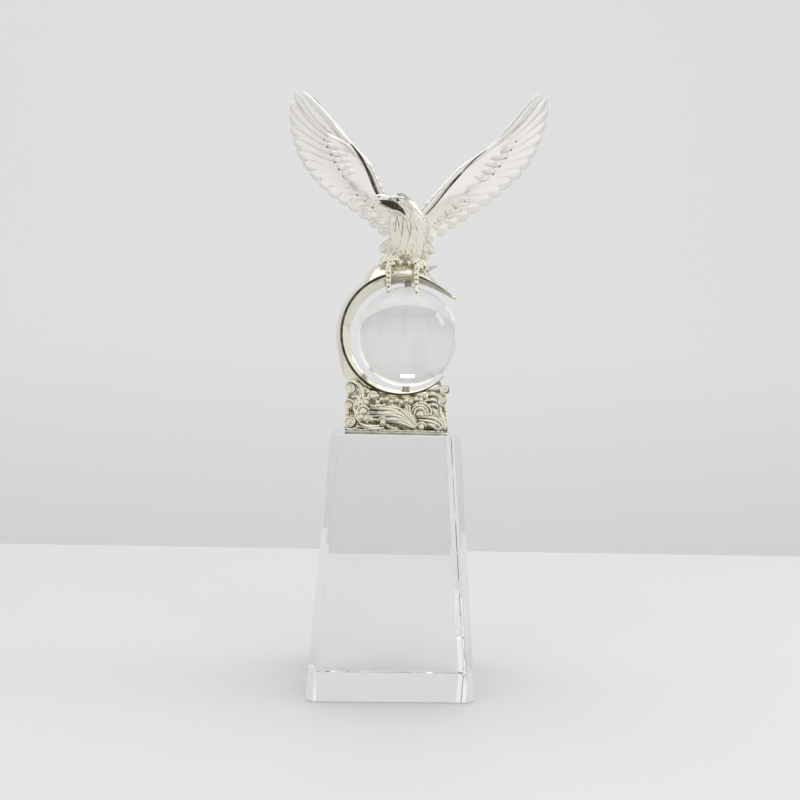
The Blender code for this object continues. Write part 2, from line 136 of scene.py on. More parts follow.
# Colours of the plate, the crystal and the stage
SILVER = (0.94, 0.915, 0.875)
WARM_SILVER = (0.92, 0.895, 0.76)
PALE_CHAMPAGNE = (0.90, 0.89, 0.77)
CHAMPAGNE = (0.94, 0.905, 0.75)
CLOUDING = (0.70, 0.69, 0.56)
# Colour of the painted shade in the plate's recesses and gaps
RECESS_SHADE = (0.06, 0.045, 0.03)
PLINTH_CLEAR = (0.925, 0.915, 0.912)
BALL_CLEAR = (0.925, 0.92, 0.905)
CRYSTAL_IOR = 1.52
# The table is painted darker towards the back, as painted shade, and the wall lighter towards the
# top, as painted light
TABLE_NEAR, TABLE_FAR = (0.89, 0.886, 0.887), (0.83, 0.825, 0.826)
WALL_LOW, WALL_HIGH = (0.785, 0.778, 0.78), (0.90, 0.898, 0.90)
ROOM_LIGHT = (0.96, 0.96, 0.965)

# Bounces that light needs inside the plate and inside the crystal
PLATE_BOUNCES = 14
CRYSTAL_BOUNCES = 24


def unit(vectors):
    """Vectors divided by their lengths."""
    return vectors / np.linalg.norm(vectors, axis=-1, keepdims=True)


def ramp(value):
    """Smooth step: 3v^2 - 2v^3 with v held between 0 and 1."""
    value = np.clip(value, 0, 1)
    return value * value * (3 - 2 * value)


def window(value, first, rise, fall, last):
    """Smooth plateau from first to last, with a rise and a fall of the given widths."""
    return ramp((value - first) / rise) * ramp((last - value) / fall)


def squared(value, power):
    """A sine or cosine pressed towards a square wave: its sign times its size to a power."""
    return np.sign(value) * np.abs(value) ** power


def xyz(x, y, z):
    """Points from three coordinates, broadcast to one shape."""
    return np.stack(np.broadcast_arrays(x, y, z), axis=-1)


def circle(count):
    """Evenly spaced angles round a circle."""
    return np.arange(count) * TURN / count


def slots(count):
    """Middles of evenly spaced slots between 0 and 1."""
    return (np.arange(count) + 0.5) / count


def bent(root, bend, tip, w):
    """Quadratic curve: (1 - w)^2 root + 2 w (1 - w) bend + w^2 tip."""
    return (1 - w) ** 2 * root + 2 * w * (1 - w) * bend + w ** 2 * tip


def spline(points, places):
    """Catmull-Rom curve through a few points, read at places from 0 to 1."""
    points = np.asarray(points, float)
    padded = np.vstack([2 * points[0] - points[1], points, 2 * points[-1] - points[-2]])
    spot = np.clip(places, 0, 1) * (len(points) - 1)
    k = np.minimum(spot.astype(int), len(points) - 2)
    t = (spot - k)[..., None]
    a, b, c, d = (padded[k + step] for step in range(4))
    return 0.5 * (2 * b + (c - a) * t + (2 * a - 5 * b + 4 * c - d) * t ** 2
                  + (3 * b - a - 3 * c + d) * t ** 3)


def tubes(points, tone=0.0, flow=None):
    """Closed skins over N grids of rings, (N, rings, around, 3).

    Neighbouring rings are joined by quads, and each end by a fan on the ring's mean.
    Tone is painted shade: 0 on bright metal and 1 in the darkest recess. Flow is across, along,
    strength.
    """
    points = np.asarray(points, float)
    count, rings, around, _ = points.shape
    poles = points[:, (0, -1)].mean(axis=2)
    stride = rings * around + 2
    verts = np.concatenate([points.reshape(count, -1, 3), poles], axis=1).reshape(-1, 3)
    start = (np.arange(count) * stride)[:, None, None]
    k = np.arange(around)
    after = (k + 1) % around
    row = np.arange(rings - 1)[:, None] * around
    quads = np.stack([row + k, row + after, row + around + after, row + around + k], axis=-1)
    quads = (start[..., None] + quads[None]).reshape(-1, 4)
    last = (rings - 1) * around
    low = np.stack([np.full(around, rings * around), after, k], axis=-1)
    high = np.stack([np.full(around, rings * around + 1), last + k, last + after], axis=-1)
    fans = (start + np.concatenate([low, high])[None]).reshape(-1, 3)

    def per_vertex(values, width):
        values = np.broadcast_to(values, (count, rings, around, width))
        ends = values[:, (0, -1)].mean(axis=2)
        return np.concatenate([values.reshape(count, -1, width), ends], axis=1).reshape(-1, width)

    tone = np.asarray(tone, float)
    tone = per_vertex(tone[..., None], 1)[:, 0]
    flow = per_vertex(np.zeros(3) if flow is None else flow, 3)
    return verts, quads, fans, tone, flow


def made_piece(name, shells, material, replaced):
    """One mesh from closed skins, in metres, riding on the trophy's body."""
    offset = 0
    faces = []
    for verts, quads, fans, _, _ in shells:
        faces += (quads + offset).tolist() + (fans + offset).tolist()
        offset += len(verts)
    points = np.concatenate([shell[0] for shell in shells]) * MM
    mesh = bpy.data.meshes.new(name)
    mesh.from_pydata(points.tolist(), [], faces)
    tone = mesh.attributes.new("tone", "FLOAT", "POINT")
    tone.data.foreach_set("value", np.concatenate([shell[3] for shell in shells]))
    flow = mesh.attributes.new("flow", "FLOAT_VECTOR", "POINT")
    flow.data.foreach_set("vector", np.concatenate([shell[4] for shell in shells]).ravel())
    mesh.shade_smooth()
    mesh.set_sharp_from_angle(angle=SHARP_ANGLE)
    mesh.materials.append(material)
    item = bpy.data.objects.new(name, mesh)
    bpy.context.scene.collection.objects.link(item)
    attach(item, "root")
    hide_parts(replaced)
    return item


def framed(path, normal):
    """Across and up directions along paths (N, rings, 3); up stays near the normal."""
    tangent = unit(np.gradient(path, axis=1))
    across = unit(np.cross(np.broadcast_to(normal, tangent.shape), tangent))
    return across, np.cross(tangent, across)


def rods(path, radius, around=10, normal=(0, 1, 0.01), flatten=1.0, tone=0.0):
    """Round rod: each ring is path + radius (cos a * across + flatten * sin a * up)."""
    path = np.asarray(path)[None]
    across, up = framed(path, np.asarray(normal, float))
    angle = circle(around)
    radius = np.broadcast_to(radius, path.shape[:2])[..., None, None]
    ring = (np.cos(angle)[:, None] * across[:, :, None]
            + flatten * np.sin(angle)[:, None] * up[:, :, None])
    tone = np.asarray(tone, float)
    if tone.ndim == 1:
        tone = tone[None, :, None]
    return tubes(path[:, :, None] + radius * ring, tone)


def beads(middles, radii, rings=7, around=10, tone=0.0, squash=1.0):
    """Round beads: circles of latitude from one pole to the other."""
    middles = np.asarray(middles, float)
    radii = np.broadcast_to(radii, len(middles))
    lift = np.linspace(0.06, math.pi - 0.06, rings)[:, None]
    angle = circle(around)
    ball = xyz(np.sin(lift) * np.cos(angle), squash * np.sin(lift) * np.sin(angle), -np.cos(lift))
    return tubes(middles[:, None, None] + radii[:, None, None, None] * ball[None], tone)


# The crescent

def share_of(angle):
    """0 at the upper tip and 1 at the lower tip, evenly by angle."""
    return (angle - UPPER_TIP) / (LOWER_TIP - UPPER_TIP)


def weight_of(angle):
    """Full in the middle of the crescent, nearly nothing at its tips."""
    return np.maximum(0.05, (1 - np.abs(2 * share_of(angle) - 1) ** 3.2) ** 0.9)


def rim_of(angle):
    """Radius of the rim, which flares out towards the upper tip."""
    return RIM_RADIUS + TIP_FLARE * np.maximum(0, 1 - share_of(angle) / 0.12) ** 2


def inner_of(angle):
    """Radius of the middle of the inner face, which clears the ball."""
    free = RIM_SIDE * np.cos(angle) - RIM_LIFT * np.sin(angle) + BALL_RADIUS + BALL_GAP
    free = free + BACK_GAP * np.maximum(0, -np.cos(angle))
    rim = rim_of(angle) - RIM_FLAT / 2
    return rim + (free - rim) * weight_of(angle)


def outer_of(angle):
    """Radius of the middle of the outer face, raised on the crown and low on the left."""
    degrees = np.degrees(angle)
    crown = window(degrees, *CROWN_WINDOW)
    skirt = window(degrees, *SKIRT_WINDOW)
    swell = SWELL + CROWN_RISE * crown + SKIRT_RISE * skirt
    return rim_of(angle) + RIM_FLAT / 2 + swell * weight_of(angle)


def on_crescent(angle, radius, depth):
    """Point at an angle and radius round the rim's middle, and a depth from front to back."""
    return RIM_MIDDLE + xyz(radius * np.cos(angle), depth, radius * np.sin(angle))


def crown_point(angle, forward, lift):
    """Point over the outer face: forward is 0 on the crest and 1 at the front rim."""
    rim = rim_of(angle) + RIM_FLAT / 2
    rise = outer_of(angle) - rim
    depth = HALF_DEPTH * weight_of(angle)
    slope = unit(np.stack(np.broadcast_arrays(2 * rise * forward, depth), axis=-1))
    radius = rim + rise * (1 - forward ** 2)
    return on_crescent(angle, radius + lift * slope[..., 1],
                       -depth * forward - lift * slope[..., 0])


def crescent_skin():
    """Leaf section carried round the ball: two bowed faces and a rolled rim between them.
    The rolled rims carry a painted dark reflection, left off in the saddle between the eagle's
    feet, where the inner face is a little darker."""
    angle = np.linspace(UPPER_TIP, LOWER_TIP, 220)[:, None]
    weight = weight_of(angle)
    rim = rim_of(angle)
    flat = RIM_FLAT / 2 * weight
    depth = HALF_DEPTH * weight
    t = np.linspace(-0.97, 0.97, 17)
    inner = rim - flat + (inner_of(angle) - rim + flat) * (1 - t ** 2)
    outer = rim + flat + (outer_of(angle) - rim - flat) * (1 - t ** 2)
    roll = np.linspace(0.12, 0.88, 6) * math.pi
    bead = RIM_BEAD * weight
    back = (rim - bead * np.cos(roll), depth * 0.97 + bead * np.sin(roll) * 0.8)
    front = (rim + bead * np.cos(roll), -depth * 0.97 - bead * np.sin(roll) * 0.8)
    radius = np.concatenate([inner, back[0], outer[:, ::-1], front[0]], axis=1)
    place = np.concatenate([depth * t, back[1], -depth * t, front[1]], axis=1)
    points = on_crescent(angle, radius, place)
    degrees = np.degrees(angle)
    saddle = window(degrees, *SADDLE_WINDOW)
    # Painted dark reflection on the rolled rims; the inner face is a little darker in the saddle
    dark = np.concatenate([0.02 + 0 * t, 0.95 + 0 * roll, 0.04 + 0 * t, 0.95 + 0 * roll])
    dark = dark - 0.8 * saddle * (dark > 0.5)
    inner = np.arange(len(dark[0])) < len(t)
    tone = np.clip(dark + 0.1 * saddle * inner, 0, 1)
    return tubes(points[None], tone[None])


def peg(low, high):
    """Upright peg on the ball's axis with rounded ends."""
    height = np.array([0, 0.03, 0.12, 0.5, 0.88, 0.97, 1.0])
    path = xyz(BALL_MIDDLE[0], BALL_MIDDLE[1], low + (high - low) * height)
    radius = PEG_RADIUS * np.array([0.8, 0.95, 1, 1, 1, 0.95, 0.8])
    return rods(path, radius, around=24, tone=0.6)


# The waves

def wave_place(x, z, front):
    """Place on the wave block, x from its middle and z from its foot."""
    return xyz(WAVE_MIDDLE + x, -front * WAVE_DEPTH, FOOT + z)


def wave_block():
    """Block under the crescent: a rounded section at each x, its height cut by the rim's
    arc, and low swells running over both faces."""
    x = np.linspace(-WAVE_HALF, WAVE_HALF, 121)[:, None]
    away = WAVE_MIDDLE + x - RIM_MIDDLE[0]
    under = RIM_MIDDLE[2] - FOOT - np.sqrt(np.maximum(1, (RIM_RADIUS + 0.2) ** 2 - away ** 2))
    sides = np.minimum((WAVE_HALF + 0.6 + x) * 6.0, (WAVE_HALF + 0.6 - x) * 6.0)
    height = np.minimum(under, sides) / 2
    angle = circle(56)
    z = height + height * squared(np.sin(angle), 0.4)
    flow = np.sin(TURN * (z * 0.9 + 0.22 * x + 1.6 * np.sin(x / 6.5)) / 3.4)
    depth = (WAVE_DEPTH - 1.0 + 0.6 * flow) * squared(np.cos(angle), 0.4)
    points = xyz(WAVE_MIDDLE + x, -depth, FOOT + z)
    # Painted shade in the low places between the swells
    return tubes(points[None], np.clip(0.18 - 0.6 * flow, 0, 1)[None])


def both_faces(make):
    """The same ridge on the front and the back of the block."""
    return [make(1.0), make(-1.0)]


def curl(x, z, radius, turn, loops=1.35, first=0.6):
    """Rolled crest: a drum through the block, a spiral ridge on each face that closes
    on a bead, and a dark ring of painted shade: reach = radius (1 - 0.75 s), angle = first
    + loops turns times s."""
    shells = []
    ends = np.stack([wave_place(x, z, f) for f in (0.98, 0.6, 0, -0.6, -0.98)])
    shells.append(rods(ends, radius * 0.9, around=28, normal=(0, 0, 1), tone=0.12))
    s = np.linspace(0, 1, 40)
    angle = turn * (first + s * loops * TURN)
    reach = radius * (1 - 0.75 * s)
    for face in (1.0, -1.0):
        middle = wave_place(x, z, face)
        path = middle + xyz(reach * np.cos(angle), -face * 0.1, reach * np.sin(angle))
        thick = radius * 0.17 * (1 - 0.35 * s) + 0.12
        shells.append(rods(path, thick, around=10))
        shells.append(beads([middle + (0, -face * 0.15, 0)], radius * 0.2, tone=0.1))
        # Ring of painted shade inside the spiral
        ring = np.linspace(0, 0.999, 30) * TURN
        inside = radius * 0.72
        hollow = middle + xyz(inside * np.cos(ring), face * 0.12, inside * np.sin(ring))
        shells.append(rods(hollow, radius * 0.12, around=6, tone=DARK))
    return shells


def swept_ridge(line, thick, face, tone=0.0):
    """Ridge along a smooth line that swells in its middle and tapers at both ends."""
    s = np.linspace(0, 1, 30)
    path = spline([wave_place(x, z, face) for x, z in line], s)
    radius = thick * (0.25 + 0.75 * np.sin(math.pi * (0.06 + 0.86 * s)))
    return rods(path, radius, around=8, flatten=0.75, tone=tone)


def arc_ridge(x, z, radius, start, stop, thick, face, tone=0.0):
    """Ridge along part of a circle on the block's face, angles in degrees."""
    s = np.linspace(0, 1, 26)
    angle = np.radians(start + (stop - start) * s)
    path = wave_place(x + radius * np.cos(angle), z + radius * np.sin(angle), face)
    taper = thick * (0.35 + 0.65 * np.sin(math.pi * (0.1 + 0.8 * s)))
    return rods(path, taper, around=8, flatten=0.8, tone=tone)


# The carving on the block's faces, x from its middle and z from its foot.
# Curls give x, z, radius and way round; sweeps, the x and z of their points; arcs, x, z,
# radius, start and stop in degrees; drops, x, z and radius.
CURLS = [(-22.6, 21.2, 3.3, 1), (-23.5, 13.0, 2.5, 1), (-22.4, 4.3, 3.8, -1),
         (23.2, 21.3, 2.6, -1), (22.0, 15.6, 2.2, -1), (20.8, 3.9, 3.0, 1)]
SWEEPS = [((-9.5, 9.9), (-2, 9.8), (3, 8.2), (9.4, 2.8)),
          ((-12, 7.6), (-3, 8.3), (3, 6.8), (9.2, 2.6)),
          ((-5, 7), (1, 6.4), (5, 4.8), (9, 2.4)),
          ((-4, 5.2), (1, 4.8), (5, 3.6), (8.8, 2.2)),
          ((1.0, 11.4), (4, 9.4), (7, 6.2), (9.6, 3.0)),
          ((3.4, 11.6), (5.6, 9.4), (8, 6.4), (9.8, 3.4)),
          ((-18.4, 4.4), (-15.6, 2.7), (-11.5, 2.5), (-8.2, 3.1)),
          ((-17.6, 2.6), (-14, 1.6), (-10, 1.5), (-6, 2.0)),
          ((10.6, 6.3), (16.3, 5.6), (20.0, 4.1), (21.9, 1.7)),
          ((12.4, 7.7), (18.3, 7.1), (21.9, 4.7), (23.4, 1.7)),
          ((13.4, 4.4), (16.5, 3.8), (18.4, 2.8), (19.6, 1.5)),
          ((21.0, 12.6), (21.9, 9.2), (22.9, 6), (23.9, 2)),
          ((-20.4, 24.0), (-18.2, 22.0), (-16.9, 19.4), (-16.6, 16.0)),
          ((-22.0, 16.4), (-19.6, 17.0), (-18.4, 15.0), (-18.8, 11.8)),
          ((-21.4, 11.4), (-20.0, 9.6), (-19.8, 8.0), (-20.6, 6.4)),
          ((13.4, 17.4), (15.6, 18.8), (17.6, 19.0), (19.4, 18.2)),
          ((13.0, 15.2), (15.6, 16.2), (17.8, 16.2), (19.4, 15.4)),
          ((14.6, 12.9), (16.6, 13.8), (18.4, 13.7), (19.8, 12.6)),
          ((-9.6, 12.4), (-5, 12.2), (-1, 12.0), (3.0, 11.0)),
          ((-13.4, 11.4), (-7, 11.3), (0, 10.2), (8.8, 3.8)),
          ((-13.6, 9.2), (-8, 9.1), (-1, 8.6), (8.4, 3.2)),
          ((-11.4, 5.7), (-5, 6.2), (1, 5.7), (8.2, 2.4)),
          ((-13.2, 13.2), (-11.0, 12.2), (-9.0, 13.0), (-6.6, 12.4))]
ARCS = [(11.3, 9.4, 2.7, 5, 190), (11.3, 9.4, 4.0, 0, 165), (11.6, 9.4, 5.3, -5, 140),
        (-16.4, 9.6, 2.9, 20, 200), (-17.2, 7.0, 2.4, 30, 260), (-11.9, 17.2, 2.2, -30, 220),
        (-6.7, 4.6, 2.4, 10, 170), (12.1, 2.6, 2.3, 10, 170), (-15.0, 14.2, 2.2, 40, 230)]
DROPS = [(-11.9, 17.2, 1.5), (-15.0, 14.2, 1.5), (-9.5, 14.4, 1.3), (-16.4, 9.6, 2.0),
         (-17.4, 6.8, 1.6), (-13.9, 8.6, 0.7), (-13.5, 7.2, 0.8), (-13.8, 5.8, 0.7),
         (-14.4, 4.6, 0.7), (-6.7, 4.4, 1.7), (11.3, 9.0, 1.9), (12.1, 2.6, 1.6),
         (15.0, 10.6, 0.8), (17.6, 11.4, 0.8), (16.2, 9.2, 0.7), (18.6, 9.6, 0.7),
         (-20.2, 12.8, 0.9), (-6.2, 13.2, 1.0), (-1.8, 13.0, 0.9), (6.0, 12.6, 0.9),
         (-24.2, 8.8, 1.3), (24.0, 11.4, 1.1), (24.1, 7.2, 1.0), (9.4, 13.6, 1.1)]
# Drops on the block's ends: y, z and radius
END_DROPS = np.array([(-6.4, 9.0, 1.2), (-3.0, 8.2, 1.5), (0.6, 9.2, 1.2), (4.0, 8.4, 1.6),
                      (7.0, 9.4, 1.1), (-5.0, 17.4, 1.3), (-1.2, 18.2, 1.1), (2.8, 17.2, 1.5),
                      (6.2, 18.0, 1.2)])


def wave_relief():
    """Curls, running ridges, arcs and foam on both faces of the block, with a groove of painted
    shade beside each ridge and arc and a bead of painted shade under each bead of the row of foam."""
    shells = []
    for x, z, radius, turn in CURLS:
        shells += curl(x, z, radius, turn)
    for line in SWEEPS:
        shells += both_faces(lambda face: swept_ridge(line, RIDGE, face))
        # A dark rod of painted shade in the groove beside the ridge
        groove = [(x - 0.15, z - 0.85) for x, z in line]
        shells += both_faces(lambda face: swept_ridge(groove, GROOVE_SHADE, face * GROOVE_FACE, DARK))
    for x, z, radius, start, stop in ARCS:
        shells += both_faces(lambda face: arc_ridge(x, z, radius, start, stop, ARC_RIDGE, face))
        # The same painted shade beside each arc
        shells += both_faces(lambda face: arc_ridge(x, z, radius + 0.75, start, stop, ARC_GROOVE_SHADE,
                                                    face * GROOVE_FACE, DARK))
    x, z, radius = np.array(DROPS).T
    for face in (1.0, -1.0):
        shells.append(beads(wave_place(x, z, face), radius, rings=9, around=14, squash=0.8))
        foam = np.radians(np.linspace(*FOAM_SPAN, FOAM_COUNT))
        row = on_crescent(foam, RIM_RADIUS + 3.4, -face * WAVE_DEPTH)
        row[:, 2] += 0.4 * np.cos(np.arange(FOAM_COUNT) * math.pi)
        shells.append(beads(row, FOAM_RADIUS, rings=9, around=14, squash=0.9))
        # A dark bead of painted shade under each foam bead
        shells.append(beads(row + (0, -face * 0.72, -0.35), 0.42, tone=0.9))
    return shells


def foot_strip():
    """Thin rounded plate that the waves stand on."""
    s = np.linspace(-1, 1, 60)
    x = WAVE_MIDDLE + s * (WAVE_HALF - 0.1)
    half = (WAVE_DEPTH + 0.5) * (1 - np.abs(s) ** 14 * 0.5) + 0.25 * np.sin(s * 40)
    angle = circle(20)
    y = half[:, None] * squared(np.cos(angle), 0.3)
    z = FOOT + 0.7 + 0.68 * squared(np.sin(angle), 0.4)
    return tubes(xyz(x[:, None], -y, z)[None], 0.2)


def side_waves():
    """Ridges and drops on the block's two ends: each ridge is a sine wave from the front
    face to the back face."""
    shells = []
    s = np.linspace(0, 1, 24)
    for side in (-1.0, 1.0):
        y, z, radius = END_DROPS.T
        middles = xyz(WAVE_MIDDLE + side * (WAVE_HALF - 1.1), y, FOOT + z)
        shells.append(beads(middles, radius, rings=9, around=12))
        for step, height in enumerate((7.0, 10.2, 15.2)):
            x = side * (WAVE_HALF - 0.9 - 0.1 * step)
            bow = height + 1.2 * np.sin(s * TURN + step * 2.1)
            path = xyz(WAVE_MIDDLE + x, WAVE_DEPTH * 0.92 * (2 * s - 1), FOOT + bow)
            shells.append(rods(path, 0.9 * np.sin(math.pi * (0.08 + 0.84 * s)), around=8,
                               normal=(side, 0, 0.01)))
    return shells


def crown_spur():
    """Small pointed leaf on the crown's right shoulder."""
    start = crown_point(math.radians(71), -0.25, -0.7)
    s = np.linspace(0, 1, 16)
    way = np.array([0.88, 0.1, 0.46])
    path = start + s[:, None] * 7.8 * way + (np.sin(s * math.pi) * 0.5)[:, None] * (0, 0, 1)
    return rods(path, 0.95 * (1 - s ** 2) ** 0.6 * (0.8 + 0.6 * s) + 0.06, around=12,
                flatten=0.6, tone=0.3)


# The eagle

def perch():
    """Place on the crown's crest that the eagle is measured from."""
    top = on_crescent(math.pi / 2, outer_of(math.pi / 2), 0.0)
    return np.array([PERCH_SIDE, top[1], top[2]])


PERCH = perch()


def eagle_at(shares):
    """Place given in hundredths of the eagle's height from the perch."""
    return PERCH + np.asarray(shares, float) * EAGLE_UNIT


def eagle_line(points, places):
    """Smooth line through points of the eagle, read at places from 0 to 1."""
    return eagle_at(spline(points, places))


def blade(u, point, rounding):
    """Half outline of a feather, 0 to 1: narrow at the quill, closed from `rounding` on."""
    quill = 0.5 + 0.5 * ramp(u / 0.45)
    closing = np.clip((u - rounding) / (1.005 - rounding), 0, 1)
    return quill * (1 - closing ** point) ** 0.6


def feathers(root, bend, tip, normal, half, rings=14, around=12, thick=0.42, tilt=0.0,
             camber=0.0, point=2.2, rounding=0.62, ridge=0.28, tone=0.0, barbs=0.6):
    """Feathers as thin closed blades on quadratic curves from root to tip.

    Across a blade, x = half * outline * cos a. Its height is a lens, thick * sin a,
    plus a ridge along the quill, less a camber that grows as x squared, plus a tilt.
    """
    count = len(root)
    u = np.sin(np.linspace(0, math.pi / 2, rings))
    path = bent(root[:, None], bend[:, None], tip[:, None], u[None, :, None])
    normal = np.broadcast_to(normal, (count, 3))
    across, up = framed(path, normal[:, None])
    outline = blade(u, point, rounding)
    half = np.broadcast_to(half, count)[:, None] * outline
    angle = circle(around)
    x = half[..., None] * np.cos(angle)
    quill = np.exp(-(np.cos(angle) / 0.22) ** 2) * np.sign(np.sin(angle))
    fade = np.minimum(1, 1.6 * outline)[None, :, None]
    height = (thick * np.sin(angle) * fade + ridge * quill * fade * (1 - 0.6 * u)[None, :, None]
              - camber * x * np.cos(angle) + tilt * x)
    points = (path[:, :, None] + x[..., None] * across[:, :, None]
              + height[..., None] * up[:, :, None])
    length = np.linalg.norm(tip - root, axis=1)[:, None, None]
    flow = xyz(np.cos(angle), u[:, None] * length, barbs)
    # Painted shade along each blade's edges and towards its root
    edge = 0.30 * np.abs(np.cos(angle)) ** 8 + 0.22 * (1 - u[:, None]) ** 2
    tone = np.clip(edge + np.asarray(tone, float).reshape(-1, 1, 1), 0, 1)
    return tubes(points, np.broadcast_to(tone, (count, rings, around)), flow)


WINGS = {
    -1: dict(lead=[(-1, 2, 21), (-12, 4, 38.5), (-21, 10, 56.5), (-37, 20, 76), (-48.5, 26.5, 90)],
             tips=[(-11, 5, 15), (-27, 10, 31), (-46, 18, 45.5), (-60, 24, 64), (-65.6, 29, 84),
                   (-65.1, 32, 99.8), (-58, 31, 100.8)],
             lead_tip=(-54.5, 31, 98)),
    1: dict(lead=[(4, 2, 20), (17, 3, 37), (33.5, 7, 55.5), (51.5, 10, 70), (65, 12, 87)],
            tips=[(14, 5, 12), (33, 8, 26.5), (55, 10, 44.5), (69.5, 12, 59.5), (78.1, 13, 78),
                  (80.4, 13, 97.3), (74.2, 12.5, 99.3)],
            lead_tip=(67.5, 12, 88.5)),
}


def wing_normal(side):
    """One direction square to the wing, towards its back."""
    lead, tips = WINGS[side]["lead"], WINGS[side]["tips"]
    chord = spline(tips, np.array(0.55)) - spline(lead, np.array(0.55))
    return unit(np.cross(np.subtract(lead[-1], lead[0]), chord) * side)


def lengths(line, places):
    """Length of a curve from its start to each place."""
    steps = np.linalg.norm(np.diff(spline(line, places), axis=0), axis=1)
    return np.concatenate([[0], np.cumsum(steps)])


def even_places(line, s):
    """Places on a curve at shares s of its length."""
    fine = np.linspace(0, 1, 400)
    length = lengths(line, fine)
    return np.interp(s, length / length[-1], fine)


def wing_feather_lines(side, s):
    """Root, middle and tip of the feather at share s of the wing, its middle pushed out by a
    bulge that grows with s, and the wing's normal."""
    normal = wing_normal(side)
    tips = WINGS[side]["tips"]
    root = eagle_line(WINGS[side]["lead"], 0.03 + 0.60 * s)
    tip = eagle_line(tips, even_places(tips, 0.01 + 0.975 * s))
    out = side * np.cross(normal, tip - root)
    bulge = (0.02 + 0.17 * s ** 1.5)[:, None]
    bend = (root + tip) / 2 + out * bulge + normal * 1.6
    return root, bend, tip, normal


def part_way(lines, share):
    """A shorter feather on the same curve, ending at a share of it."""
    root, bend, tip, normal = lines
    w = np.broadcast_to(share, len(root))[:, None]
    return root, root + (bend - root) * w, bent(root, bend, tip, w), normal


def wing_skin(side):
    """Smooth inner wing: an aerofoil section from the leading edge over part of each
    feather's curve, carried from the shoulder to the hand."""
    s = np.linspace(0, 1, 70)
    root, bend, tip, normal = part_way(wing_feather_lines(side, s), 0.56 - 0.14 * s)
    angle = circle(28)
    c = ((1 - np.cos(angle)) / 2)[None, :, None]
    path = bent(root[:, None], bend[:, None], tip[:, None], c)
    thick = (2.0 - 0.9 * s)[:, None] * (1 - 0.5 * c[..., 0])
    ripple = 0.16 * np.sin(s[:, None] * 46 + 2.2 * c[..., 0]) * c[..., 0] ** 2
    rise = np.sin(angle) * thick + ripple * np.sign(np.sin(angle))
    points = path + normal * rise[..., None] * side
    return tubes(points[None], 0.02)


def arm(side):
    """Rounded leading edge from the shoulder to the hand, with a knuckle at the wrist."""
    s = np.linspace(0, 1, 60)
    path = eagle_line(WINGS[side]["lead"], 0.8 * s) - wing_normal(side) * 0.5
    radius = 2.1 - 1.35 * s + 0.55 * np.exp(-((s - 0.58) / 0.06) ** 2)
    swirl = 1 + 0.05 * np.sin(s * 90)
    return rods(path, radius * swirl, around=16, normal=wing_normal(side), flatten=0.8, tone=0.04)


def arm_shadow(side):
    """Dark strip behind the leading edge, a painted shadow along it."""
    s = np.linspace(0, 1, 60)
    normal = wing_normal(side)
    first, last = (0.19, 0.62) if side < 0 else (0.14, 0.64)
    root = eagle_line(WINGS[side]["lead"], first + (last - first) * s)
    inward = unit(wing_feather_lines(side, s)[2] - root)
    path = root + inward * (2.6 - 1.0 * s)[:, None] - normal * (1.7 - 0.4 * s)[:, None]
    radius = (0.8 if side < 0 else 0.42) * np.sin(math.pi * (0.1 + 0.84 * s)) ** 0.7
    return rods(path, radius, around=8, normal=normal, flatten=0.5, tone=DARK)


def hand_coverts(side, normal):
    """Short feathers with painted shade in the gaps between them, that edge the smooth inner face
    of the wing.
    """
    shells = []
    form = dict(rings=12, thick=0.3, camber=0.08, point=2.0, rounding=0.5, ridge=0.08, barbs=0.2,
                tone=0.05)
    raised = -normal * 0.85
    further = 0.08 if side > 0 else 0.0
    for count, first, last, share, size in ((5, 0.55, 0.88, 0.44, 1.7), (4, 0.58, 0.84, 0.33, 1.5),
                                            (3, 0.12, 0.34, 0.50, 1.6)):
        place = first + (last - first) * slots(count)
        share = share + further
        lines = wing_feather_lines(side, place)
        root = part_way(lines, share - 0.17)[2]
        tip = part_way(lines, share)[2]
        shells.append(feathers(root + raised * 0.6, (root + tip) / 2 + raised * 1.2, tip + raised,
                               -normal, size - 0.5 * place, **form))
        gap = part_way(wing_feather_lines(side, place + 0.5 * (last - first) / count), share)[2]
        shells.append(beads(gap + raised * 0.9, 0.33, rings=6, around=8, tone=DARK))
    return shells


